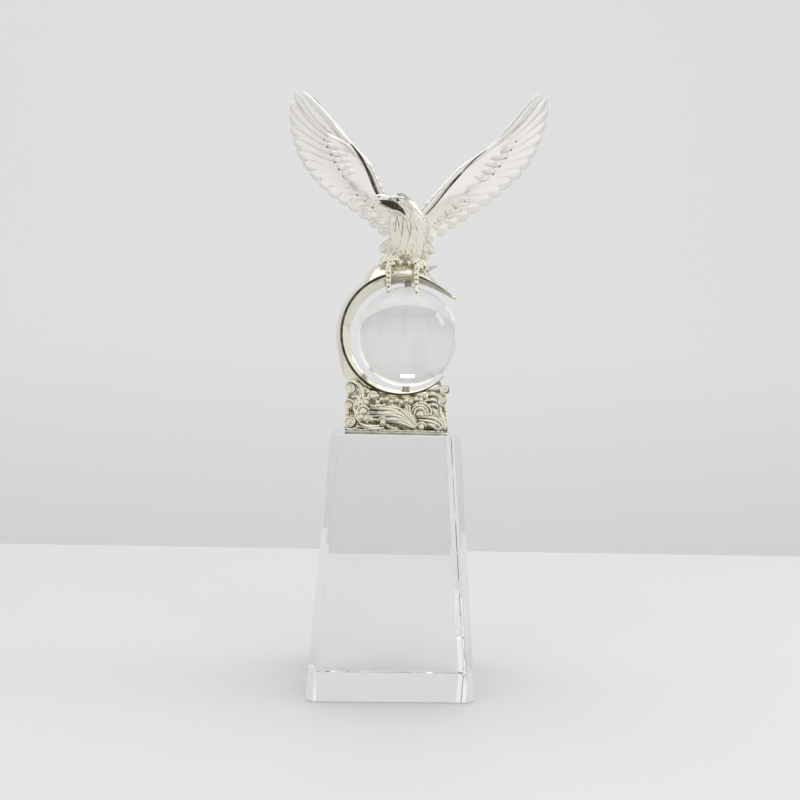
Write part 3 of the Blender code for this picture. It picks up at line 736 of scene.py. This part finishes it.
def wing(side):
    """Smooth skin and arm, flight feathers, the two lead feathers with a thin shadow, the
    edging in front, and three rows of coverts behind."""
    shells = [wing_skin(side), arm(side), arm_shadow(side)]
    s = slots(FLIGHT_FEATHERS)
    root, bend, tip, normal = wing_feather_lines(side, s)
    half = (4.5 - 1.9 * s ** 2) * EAGLE_UNIT
    shells.append(feathers(root, bend, tip, -normal, half, rings=24, around=16, thick=0.42,
                           tilt=0.10 * side, camber=0.045, point=2.4, rounding=0.8, ridge=0.2))
    lead = WINGS[side]["lead"]
    start = eagle_line(lead, np.array([0.5, 0.42]))
    end = eagle_at([WINGS[side]["lead_tip"], spline(WINGS[side]["tips"], np.array(0.99))])
    along = eagle_line(lead, np.array([0.8, 0.76]))
    middle = 2 * along - (start + end) / 2
    shells.append(feathers(start, middle, end, -normal, np.array([1.5, 1.8]), rings=24,
                           around=16, thick=0.75, point=2.4, rounding=0.75, ridge=0.2))
    inner = spline([start[0], middle[0], end[0]], np.linspace(0.35, 0.97, 30))
    shade = inner - normal * 0.35 - side * np.array([1.5, 0, 0.6])
    shells.append(rods(shade, 0.3 * np.sin(math.pi * np.linspace(0.1, 0.95, 30)), around=6,
                       normal=normal, tone=0.9))
    shells += hand_coverts(side, normal)
    for count, share, lift, width in ((15, 0.72, 0.55, 3.9), (16, 0.58, 0.95, 3.3),
                                      (17, 0.42, 1.3, 2.7)):
        place = slots(count)
        lines = wing_feather_lines(side, place)
        root, bend, tip, _ = part_way(lines, share - 0.1 * place)
        off = normal * lift
        shells.append(feathers(root + off * 0.6, bend + off, tip + off * 0.9, normal,
                               width - 0.9 * place, thick=0.38, camber=0.05,
                               tilt=-0.12 * side, point=2.2, rounding=0.72, ridge=0.14, barbs=0.4))
    return shells


BODY_LINE = eagle_at([(4, 13, 9), (3.5, 7, 13), (3, 2, 17), (2, -2, 21), (1, -6, 24.5),
                      (-1, -10, 27.5), (-4, -13, 29), (-8, -14, 28.8), (-10.5, -14.4, 28.6)])
BODY_RADII = EAGLE_UNIT * np.array([[4.0], [8.2], [10.2], [10.0], [8.2], [6.2], [5.4], [4.2],
                                    [1.8]])


def sweep(line, radii, side, flatten):
    """A skin swept along a curve; returns a function of place and angle that gives the
    point, centre + radius (flatten cos a * across + sin a * other), and its way out."""
    side = np.asarray(side, float)

    def skin(u, angle):
        u, angle = np.broadcast_arrays(np.asarray(u, float), np.asarray(angle, float))
        centre = spline(line, u)
        ahead, behind = np.minimum(u + 0.01, 1), np.maximum(u - 0.01, 0)
        tangent = unit(spline(line, ahead) - spline(line, behind))
        across = unit(side - (tangent @ side)[..., None] * tangent)
        other = np.cross(tangent, across)
        cos, sin = np.cos(angle)[..., None], np.sin(angle)[..., None]
        out = unit(cos / flatten * across + sin * other)
        return centre + spline(radii, u) * (flatten * cos * across + sin * other), out
    return skin


def skin_shell(skin, rings=46, around=40, tone=0.15):
    """The swept skin itself, closed at both ends, in painted shade where it shows between
    feathers.
    """
    points, _ = skin(np.linspace(0, 1, rings)[:, None], circle(around))
    return tubes(points[None], tone)


def coat(skin, rows, columns, first, last, reach, lift=0.5, wide=0.62, arc=(0.0, TURN), **form):
    """Overlapping feathers on a skin, in staggered rows: root at skin(u, a), tip at
    skin(u - reach, a) and lifted off it, width from the space between the columns."""
    row, column = np.meshgrid(np.arange(rows), np.arange(columns), indexing="ij")
    u = (first + (last - first) * row / max(rows - 1, 1)).ravel()
    step = (arc[1] - arc[0]) / columns
    stagger = 0.5 * (row % 2) + 0.18 * np.sin(row * 5 + column * 3)
    angle = (arc[0] + step * (column + stagger)).ravel()
    root, out = skin(u, angle)
    mid, mid_out = skin(u - reach * 0.5, angle)
    tip, tip_out = skin(u - reach, angle)
    beside, _ = skin(u, angle + step)
    half = np.linalg.norm(beside - root, axis=1) * wide
    return feathers(root + out * 0.05, mid + mid_out * lift, tip + tip_out * lift, mid_out,
                    np.maximum(half, 0.35), **form)


def body():
    """Body, neck and head: one sweep under a coat of pointed hackles."""
    skin = sweep(BODY_LINE, BODY_RADII, (0.2, 1.0, 0.4), 0.86)
    trunk = dict(rows=7, columns=18, first=0.20, last=0.62, reach=0.17, lift=0.55, wide=0.60,
                 rings=9, thick=0.3, point=1.4, ridge=0.22, barbs=0.4)
    neck = dict(rows=6, columns=17, first=0.52, last=0.80, reach=0.15, lift=0.45, wide=0.52,
                rings=9, thick=0.26, point=1.2, ridge=0.2, barbs=0.3)
    nape = dict(rows=4, columns=13, first=0.80, last=0.93, reach=0.10, lift=0.3, wide=0.5,
                rings=8, thick=0.2, point=1.2, ridge=0.12, barbs=0.2)
    return [skin_shell(skin)] + [coat(skin, around=8, **form) for form in (trunk, neck, nape)]


def breast():
    """Long strands that fall from the neck over the breast to the legs."""
    line = eagle_at([(2.5, -0.5, 3), (2.4, -1.6, 8), (2.0, -3.2, 14), (1.0, -6.4, 20),
                     (-0.5, -9.6, 25.5), (-2.0, -11.8, 28.5)])
    radii = np.array([[5.2], [7.0], [8.0], [7.6], [6.2], [4.6]]) * EAGLE_UNIT
    skin = sweep(line, radii, (0.0, 1.0, 0.2), 0.72)
    shells = [skin_shell(skin, rings=40, around=36, tone=0.2)]
    front = (math.pi * 0.38, math.pi * 1.62)
    for columns, first, last in ((15, 0.30, 0.62), (13, 0.5, 0.95)):
        shells.append(coat(skin, rows=4, columns=columns, first=first, last=last, reach=0.27,
                           lift=0.5, wide=0.46, arc=front, rings=12, around=8, thick=0.34,
                           point=1.15, ridge=0.3, barbs=0.15, tone=-0.12))
    return shells


def head():
    """Open hooked beak, brows, eyes, and strands swept back over the crown, with painted shade
    on the lower beak, in the gape, under the throat, along the jaw and between the strands."""
    shells = []
    s = np.linspace(0, 1, 26)
    upper = eagle_line([(-8, -14.3, 30.2), (-12, -15, 31.8), (-15.6, -15.4, 31.8),
                        (-17.0, -15.4, 29.8)], s)
    radius = (2.5 * (1 - s) ** 0.8 + 0.5 * np.sin(s * math.pi) + 0.1) * EAGLE_UNIT
    shells.append(rods(upper, radius, around=16, normal=(0, 1, 0.01), flatten=0.8, tone=0.02))
    ridge = upper + xyz(0.0, 0.0, radius * 0.86)
    shells.append(rods(ridge[2:-3], 0.34 * (1 - s[2:-3] * 0.6), around=8))
    lower = eagle_line([(-7.0, -14.6, 27.8), (-11, -15.2, 28.2), (-15.0, -15.4, 29.2)], s)
    shells.append(rods(lower, (1.6 * (1 - s) ** 0.75 + 0.12) * EAGLE_UNIT, around=14,
                       flatten=0.8, tone=0.75 - 0.5 * s))
    gape = eagle_line([(-5.5, -15.8, 28.9), (-10.0, -16.0, 29.6), (-14.6, -15.4, 30.6)], s)
    shells.append(rods(gape, (1.2 * (1 - s) ** 0.6 + 0.1) * EAGLE_UNIT, around=12, flatten=1.05,
                       tone=DARK))
    throat = eagle_line([(0.2, -15.4, 23.2), (-3.4, -17.0, 26.4), (-7.0, -17.9, 27.9),
                         (-11.1, -16.9, 29.4), (-14.6, -15.6, 30.8)], s)
    shells.append(rods(throat, (0.2 + 1.8 * np.sin(math.pi * s) ** 1.3) * EAGLE_UNIT, around=14,
                       flatten=0.8, tone=DARK))
    for face in (-1.0, 1.0):
        depth = HEAD_MIDDLE + face * 5.4
        eye = eagle_at([(-4.3, HEAD_MIDDLE + face * 6.0, 30.7)])
        shells.append(beads(eye, 0.95, rings=10, around=14, tone=0.95))
        jaw = eagle_line([(-2.4, depth + 0.3 * face, 31.4), (-1.5, depth, 30.0),
                          (-0.2, depth - 0.8 * face, 28.6)], s)
        shells.append(rods(jaw, 0.42, around=8, tone=DARK))
        brow = eagle_line([(-10.4, HEAD_MIDDLE + face * 4.2, 31.2),
                           (-7.2, depth + 0.3 * face, 31.9), (-4.2, depth + 0.5 * face, 32.3),
                           (-1.0, depth - 0.2 * face, 31.2)], s)
        shells.append(rods(brow, 0.78 * np.sin(math.pi * (0.1 + 0.85 * s)), around=10))
    lean = np.linspace(-1.15, 1.15, 13)
    low = lean ** 2
    start = eagle_at(xyz(-8.2 + 1.2 * np.abs(lean), -13.6 + 3.6 * lean, 33.0 - 1.2 * low))
    middle = eagle_at(xyz(-1.0, -12.0 + 5.6 * lean, 34.9 - 2.6 * low))
    end = eagle_at(xyz(6.2 - 0.7 * np.abs(lean), -8.4 + 6.0 * lean, 27.6 - 2.2 * low))
    out = unit(xyz(0.15, 0.9 * lean, 1.2))
    shells.append(feathers(start, middle, end, out, 0.95, rings=16, around=8, thick=0.45,
                           point=1.2, ridge=0.35, barbs=0.1))
    for k in (1, 3):
        gap = spline([(part[k] + part[k + 1]) / 2 for part in (start, middle, end)], s * 0.8)
        shells.append(rods(gap + (0, -0.2, 0.1), 0.26 * (1.1 - s), around=6, tone=DARK))
    return shells


def tail():
    """Fan of broad feathers behind the legs in two layers."""
    shells = []
    for count, spread, reach, depth in ((7, 56, 17.6, 6.6), (6, 46, 14.2, 5.2)):
        lean = np.radians(np.linspace(-spread, spread, count))
        root = eagle_at(xyz(2.5 + 1.5 * np.sin(lean), depth, 17.0))
        way = xyz(np.sin(lean), 0.30, -np.cos(lean))
        tip = root + way * (reach - 0.6 * np.abs(lean))[:, None] * EAGLE_UNIT
        bend = (root + tip) / 2 + np.array([0, 0.8, 0])
        shells.append(feathers(root, bend, tip, np.array([0.0, -1.0, -0.3]), 3.1 * EAGLE_UNIT,
                               rings=16, around=14, thick=0.7, tilt=0.1, point=3.0, ridge=0.3,
                               tone=0.06))
    return shells


def before_ball(points, size):
    """Bring a hanging toe forward until its knuckles clear the ball."""
    away = points - BALL_MIDDLE
    bulge = np.sqrt(np.maximum(0, BALL_RADIUS ** 2 - away[:, 0] ** 2 - away[:, 2] ** 2))
    points[:, 1] = np.minimum(points[:, 1], -(bulge + size + BALL_GAP))
    return points


def knuckle_size(share):
    """Radius of the knuckle at a share of the toe, smaller towards its tip."""
    return TOE_RADIUS * (1.42 - 0.46 * share)


def toe(angle, turn, start, reach, drop):
    """Row of round knuckles with painted shade in the gaps, on a thin core in painted shade that
    lies over the crown and, where it drops, hangs in front of the ball."""
    w = np.linspace(0, 1, 6)
    lift = knuckle_size(w * (0.5 if drop else 1.0)) + TOE_GAP
    path = crown_point(angle + math.radians(turn) * (0.12 + w), start + (reach - start) * w, lift)
    if drop:
        k = np.arange(1, 5)
        hang = path[-1] + k[:, None] * np.array([0, -0.31, -TOE_DROP / 4])
        path = np.vstack([path, before_ball(hang, knuckle_size(0.5 + k / 8))])
    length = lengths(path, np.linspace(0, 1, 200))[-1]
    count = max(3, round(length / KNUCKLE_STEP))
    s = (np.arange(count) + 0.35) / count
    line = spline(path, even_places(path, np.linspace(0, 1, 40)))
    core = TOE_RADIUS * np.clip(0.9 - 0.6 * np.linspace(0, 1, 40) ** 1.5, 0.12, 1)
    shells = [rods(line, core, around=12, normal=(0, 0.4, 1.0), tone=0.9)]
    shells.append(beads(spline(path, even_places(path, s)), knuckle_size(s), rings=10, around=16))
    gap = s[:-1] + 0.5 / count
    size = knuckle_size(gap)
    front = spline(path, even_places(path, gap)) - xyz(0.0, size * 0.72, -size * 0.1)
    shells.append(beads(front, 0.4, rings=6, around=8, tone=DARK))
    return shells


def leg(angle, spread):
    """Feathered thigh down to the ankle, four toes, and a fan of joints over their roots, with
    painted shade on the thigh's skin and under each joint.
    """
    lift = TOE_RADIUS + TOE_GAP
    ankle = crown_point(np.array(angle), 0.12, lift)
    hip = eagle_at((3 + spread * 4.2, 1, 14))
    knee = hip * 0.45 + ankle * 0.55 + np.array([0, -TOE_RADIUS, 0])
    line = np.array([ankle + (0, 0, 0.4), knee * 0.4 + ankle * 0.6, knee, hip])
    radii = np.array([[1.9], [2.9], [4.2], [5.8]]) * EAGLE_UNIT
    skin = sweep(line, radii, (0.0, 1.0, 0.1), 1.0)
    shells = [skin_shell(skin, rings=22, around=24, tone=0.5)]
    shells.append(coat(skin, rows=4, columns=11, first=0.42, last=0.98, reach=0.36, lift=0.3,
                       wide=0.5, rings=9, around=8, thick=0.3, point=1.15, ridge=0.28,
                       barbs=0.1, tone=0.12))
    toes = ((spread * 9, 0.1, 0.62, False), (1.7 + 2.3 * spread, 0.16, 1.0, True),
            (-spread * 7, 0.07, 0.66, False), (-spread * 2, 0.03, -0.8, False))
    for turn, start, reach, drop in toes:
        shells += toe(angle, turn, start, reach, drop)
    fan = np.radians(np.array([-5.5, -2.0, 1.8, 5.2, -4.2, -0.4, 3.6, -2.0, 1.6]))
    forward = np.array([0.30, 0.30, 0.30, 0.30, 0.52, 0.55, 0.52, 0.76, 0.78])
    size = np.array([1.5, 1.7, 1.7, 1.5, 1.5, 1.6, 1.5, 1.3, 1.3])
    joints = crown_point(angle + math.radians(1.5) * spread + fan, forward, 2.3 + 0.3 * size)
    shells.append(beads(joints, size, rings=10, around=14))
    shells.append(beads(joints + (0.25, -1.15, -0.95), 0.5, rings=6, around=8, tone=DARK))
    return shells


def crystal_ball():
    """Turned ball: the floor and wall of the lower hole, the sphere, and the upper hole."""
    hole = PEG_RADIUS + HOLE_GAP
    floor = BALL_RADIUS - PEG_REACH - HOLE_GAP
    mouth = math.asin(hole / BALL_RADIUS)
    polar = np.linspace(mouth, math.pi - mouth, 90)
    radius = np.concatenate([[hole * 0.5, hole], BALL_RADIUS * np.sin(polar), [hole, hole * 0.5]])
    height = np.concatenate([[-floor, -floor], -BALL_RADIUS * np.cos(polar), [floor, floor]])
    angle = circle(128)
    points = xyz(radius[:, None] * np.cos(angle), radius[:, None] * np.sin(angle), height[:, None])
    return [tubes((BALL_MIDDLE + points)[None])]


def stand():
    """Crescent, waves and spur, and two pegs that are rooted in the crescent."""
    low, high = BALL_MIDDLE[2] - BALL_RADIUS, BALL_MIDDLE[2] + BALL_RADIUS
    shells = [crescent_skin(), wave_block(), foot_strip(), crown_spur()]
    shells += wave_relief() + side_waves()
    return shells + [peg(low - PEG_ROOT, low + PEG_REACH), peg(high - PEG_REACH, high + PEG_ROOT)]


def eagle():
    """Body, breast, head, tail, both wings and both legs."""
    shells = body() + breast() + head() + tail() + wing(-1) + wing(1)
    for angle, spread in FEET:
        shells += leg(angle, spread)
    return shells


# Materials

def shader_of(name):
    """A new material and its Principled shader."""
    material = bpy.data.materials.new(name)
    material.use_nodes = True
    return material, material.node_tree.nodes["Principled BSDF"]


def node(tree, kind, links=(), **settings):
    """Add a node; links are (input, output socket) pairs, settings are its properties."""
    made = tree.nodes.new(kind)
    for key, value in settings.items():
        setattr(made, key, value)
    for key, source in links:
        if hasattr(source, "is_output"):
            tree.links.new(source, made.inputs[key])
        else:
            made.inputs[key].default_value = source
    return made


def speckle(tree, scale, detail, low, high):
    """Noise on Object coordinates, stretched from low to high."""
    place = node(tree, "ShaderNodeTexCoord").outputs["Object"]
    noise = node(tree, "ShaderNodeTexNoise",
                 [("Vector", place), ("Scale", scale), ("Detail", detail)]).outputs["Fac"]
    spread = [("Value", noise), ("From Min", 0.3), ("From Max", 0.7), ("To Min", low),
              ("To Max", high)]
    return node(tree, "ShaderNodeMapRange", spread).outputs["Result"]


def math_of(tree, operation, *values):
    """Result of a Math node on one to three values."""
    return node(tree, "ShaderNodeMath", list(enumerate(values)), operation=operation).outputs[0]


def level_ramp(tree, value, stops):
    """Piecewise level between stops of (place, level)."""
    ramp_node = node(tree, "ShaderNodeValToRGB", [("Fac", value)])
    points = ramp_node.color_ramp.elements
    for number, (place, level) in enumerate(stops):
        point = points[number] if number < 2 else points.new(place)
        point.position = place
        point.color = (level, level, level, 1.0)
    return ramp_node.outputs["Color"]


def mixed(tree, factor, first, second):
    """Colour between two colours or sockets."""
    ends = [(0, factor), (6, first), (7, second)]
    return node(tree, "ShaderNodeMix", ends, data_type="RGBA").outputs[2]


def plated(name, high_colour, low_colour, low_z, high_z, satin):
    """Polished plate that changes from one colour below low_z to another above high_z, a
    little clouded, with painted shade where the tone is high, and faint barbs along the feathers."""
    material, shader = shader_of(name)
    tree = material.node_tree
    shader.inputs["Metallic"].default_value = 1.0
    place = node(tree, "ShaderNodeTexCoord").outputs["Object"]
    height = node(tree, "ShaderNodeSeparateXYZ", [(0, place)]).outputs["Z"]
    rise = node(tree, "ShaderNodeMapRange", [("Value", height), ("From Min", low_z * MM),
                                             ("From Max", high_z * MM)]).outputs["Result"]
    colour = mixed(tree, rise, (*low_colour, 1.0), (*high_colour, 1.0))
    cloud = speckle(tree, 55.0, 3.0, 0.0, 0.22)
    colour = mixed(tree, cloud, colour, (*CLOUDING, 1.0))
    # Painted shade: the colour goes dark where the tone is high
    tone = node(tree, "ShaderNodeAttribute", attribute_name="tone").outputs["Fac"]
    painted_shade = math_of(tree, "MULTIPLY", speckle(tree, 260.0, 4.0, 0.88, 1.12), tone)
    colour = mixed(tree, painted_shade, colour, (*RECESS_SHADE, 1.0))
    tree.links.new(colour, shader.inputs["Base Color"])
    polish = math_of(tree, "ADD", speckle(tree, 140.0, 4.0, satin, satin + 0.08),
                     math_of(tree, "MULTIPLY", tone, 0.22))
    tree.links.new(polish, shader.inputs["Roughness"])
    flow = node(tree, "ShaderNodeAttribute", attribute_name="flow").outputs["Vector"]
    parts = node(tree, "ShaderNodeSeparateXYZ", [(0, flow)])
    slant = math_of(tree, "MULTIPLY", math_of(tree, "ABSOLUTE", parts.outputs["X"]), 4.5)
    along = math_of(tree, "MULTIPLY", parts.outputs["Y"], 8.0)
    lines = math_of(tree, "SINE", math_of(tree, "SUBTRACT", along, slant))
    barbs = math_of(tree, "MULTIPLY", lines, parts.outputs["Z"])
    grain = math_of(tree, "ADD", barbs, speckle(tree, 900.0, 3.0, -0.3, 0.3))
    bump = node(tree, "ShaderNodeBump",
                [("Strength", 0.5), ("Distance", 0.06 * MM), ("Height", grain)])
    tree.links.new(bump.outputs["Normal"], shader.inputs["Normal"])
    return material


def crystal_material(name, colour):
    """Clear crystal by plain values, its polish hardly uneven."""
    material, shader = shader_of(name)
    shader.inputs["Base Color"].default_value = (*colour, 1.0)
    shader.inputs["IOR"].default_value = CRYSTAL_IOR
    shader.inputs["Transmission Weight"].default_value = 1.0
    shader.inputs["Roughness"].default_value = 0.0
    tree = material.node_tree
    tree.links.new(speckle(tree, 30.0, 2.0, 0.0, 0.012), shader.inputs["Roughness"])
    return material


def matte(name, near_colour, far_colour, axis, near, far):
    """Matt paint that changes evenly along one axis, in metres."""
    material, shader = shader_of(name)
    tree = material.node_tree
    place = node(tree, "ShaderNodeTexCoord").outputs["Object"]
    along = node(tree, "ShaderNodeSeparateXYZ", [(0, place)]).outputs[axis]
    share = node(tree, "ShaderNodeMapRange", [("Value", along), ("From Min", near),
                                              ("From Max", far)]).outputs["Result"]
    tree.links.new(mixed(tree, share, (*near_colour, 1.0), (*far_colour, 1.0)),
                   shader.inputs["Base Color"])
    shader.inputs["Roughness"].default_value = 0.9
    shader.inputs["Specular IOR Level"].default_value = 0.0
    return material


# Stage, lights and camera

def sheet_object(name, corners, material):
    """One four-cornered sheet of the stage."""
    mesh = bpy.data.meshes.new(name)
    mesh.from_pydata(corners, [], [(0, 1, 2, 3)])
    mesh.materials.append(material)
    item = bpy.data.objects.new(name, mesh)
    bpy.context.scene.collection.objects.link(item)


def build_stage():
    """A white table whose back edge shows through the plinth, and a pale grey wall."""
    side = STAGE_HALF
    # The table's colour is painted shade, darker towards the back; the wall's is painted light,
    # lighter towards the top
    sheet_object("table", [(-side, -side, -TABLE_DROP), (side, -side, -TABLE_DROP),
                           (side, TABLE_BACK, -TABLE_DROP), (-side, TABLE_BACK, -TABLE_DROP)],
                 matte("white_table", TABLE_NEAR, TABLE_FAR, "Y", -0.35, 0.15))
    sheet_object("wall", [(-side, WALL_DISTANCE, -2), (side, WALL_DISTANCE, -2),
                          (side, WALL_DISTANCE, 3), (-side, WALL_DISTANCE, 3)],
                 matte("pale_wall", WALL_LOW, WALL_HIGH, "Z", -0.25, 0.25))


# Brightness of the room's screens by share of a turn, with dark gaps between them, and of
# its ceiling by height
SCREENS = [(0.0, 0.97), (0.30, 0.95), (0.312, 0.4), (0.328, 0.4), (0.34, 0.93), (0.448, 0.95),
           (0.458, 0.10), (0.478, 0.10), (0.488, 0.95), (0.62, 0.97), (0.632, 0.35),
           (0.648, 0.35), (0.66, 0.95), (1.0, 0.97)]
CEILING = [(0.0, 1.0), (0.62, 1.0), (0.65, 0.4), (0.70, 0.4), (0.73, 1.05), (1.0, 1.05)]
# Place, aim and size in metres, and power in watts
SOFTBOXES = {
    "softbox_right": ((0.95, 0.0, 0.72), (0, 0, 0.17), (0.25, 0.4), 0.9),
    "softbox_top": ((0.0, -0.1, 1.3), (0, 0, 0.1), (1.4, 1.2), 2.0),
    "softbox_back": ((0.03, 1.1, 1.13), (0, 0, 0.17), (0.32, 0.14), 0.55),
    "wall_wash": ((0.0, 0.7, 1.5), (0, 1.6, 0.2), (2.4, 1.0), 0.8),
}


def area_light(name, place, aim, size, power):
    """Rectangular light at a place, facing its aim."""
    data = bpy.data.lights.new(name, "AREA")
    data.shape = "RECTANGLE"
    data.size, data.size_y = size
    data.energy = power
    item = bpy.data.objects.new(name, data)
    bpy.context.scene.collection.objects.link(item)
    item.location = place
    item.rotation_mode = "QUATERNION"
    item.rotation_quaternion = (Vector(aim) - Vector(place)).to_track_quat("-Z", "Y")


def build_lights():
    """A pale room with dark gaps between its screens, and small softboxes."""
    world = bpy.data.worlds.new("room")
    bpy.context.scene.world = world
    world.use_nodes = True
    tree = world.node_tree
    room = tree.nodes["Background"]
    way = node(tree, "ShaderNodeTexCoord").outputs["Generated"]
    parts = node(tree, "ShaderNodeSeparateXYZ", [(0, way)])
    bearing = math_of(tree, "ARCTAN2", parts.outputs["X"],
                      math_of(tree, "MULTIPLY", parts.outputs["Y"], -1.0))
    turn = math_of(tree, "MULTIPLY_ADD", bearing, 1 / TURN, 0.5)
    levels = [level_ramp(tree, turn, SCREENS), level_ramp(tree, parts.outputs["Z"], CEILING)]
    tree.links.new(math_of(tree, "MULTIPLY", *levels), room.inputs["Strength"])
    room.inputs["Color"].default_value = (*ROOM_LIGHT, 1.0)
    for name, settings in SOFTBOXES.items():
        area_light(name, *settings)


def build_camera():
    """Level camera at the photo's angle: a focal length of FOCAL_PIXELS in a frame of
    FRAME_PIXELS, turned about the trophy and rolled."""
    data = bpy.data.cameras.new("camera")
    data.lens = data.sensor_width * FOCAL_PIXELS / FRAME_PIXELS
    data.clip_start = 0.01
    item = bpy.data.objects.new("camera", data)
    bpy.context.scene.collection.objects.link(item)
    turn = Matrix.Rotation(CAMERA_TURN, 4, "Z")
    place = turn @ Vector((CAMERA_SIDE, -CAMERA_DISTANCE, CAMERA_HEIGHT))
    look = turn @ Matrix.Rotation(math.pi / 2, 4, "X") @ Matrix.Rotation(CAMERA_ROLL, 4, "Z")
    item.matrix_world = Matrix.Translation(place) @ look
    bpy.context.scene.camera = item


def set_view():
    """Plain colours, and more bounces in the plate and the crystal than Blender's own."""
    scene = bpy.context.scene
    scene.view_settings.view_transform = "Standard"
    scene.cycles.max_bounces = CRYSTAL_BOUNCES
    scene.cycles.glossy_bounces = PLATE_BOUNCES
    scene.cycles.transmission_bounces = CRYSTAL_BOUNCES


set_view()
build_stage()
build_lights()
build_camera()
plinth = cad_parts["crystal_plinth"]
plinth.data.materials.clear()
plinth.data.materials.append(crystal_material("plinth_crystal", PLINTH_CLEAR))
ball_crystal = crystal_material("ball_crystal", BALL_CLEAR)
silver = plated("silver_plate", SILVER, WARM_SILVER, 200, 240, 0.12)
champagne = plated("champagne_plate", PALE_CHAMPAGNE, CHAMPAGNE, 135, 165, 0.06)
made_piece("turned_ball", crystal_ball(), ball_crystal, "crystal_ball")
made_piece("waves_and_crescent", stand(), champagne, "wave_crescent_stand")
made_piece("plated_eagle", eagle(), silver, "eagle")
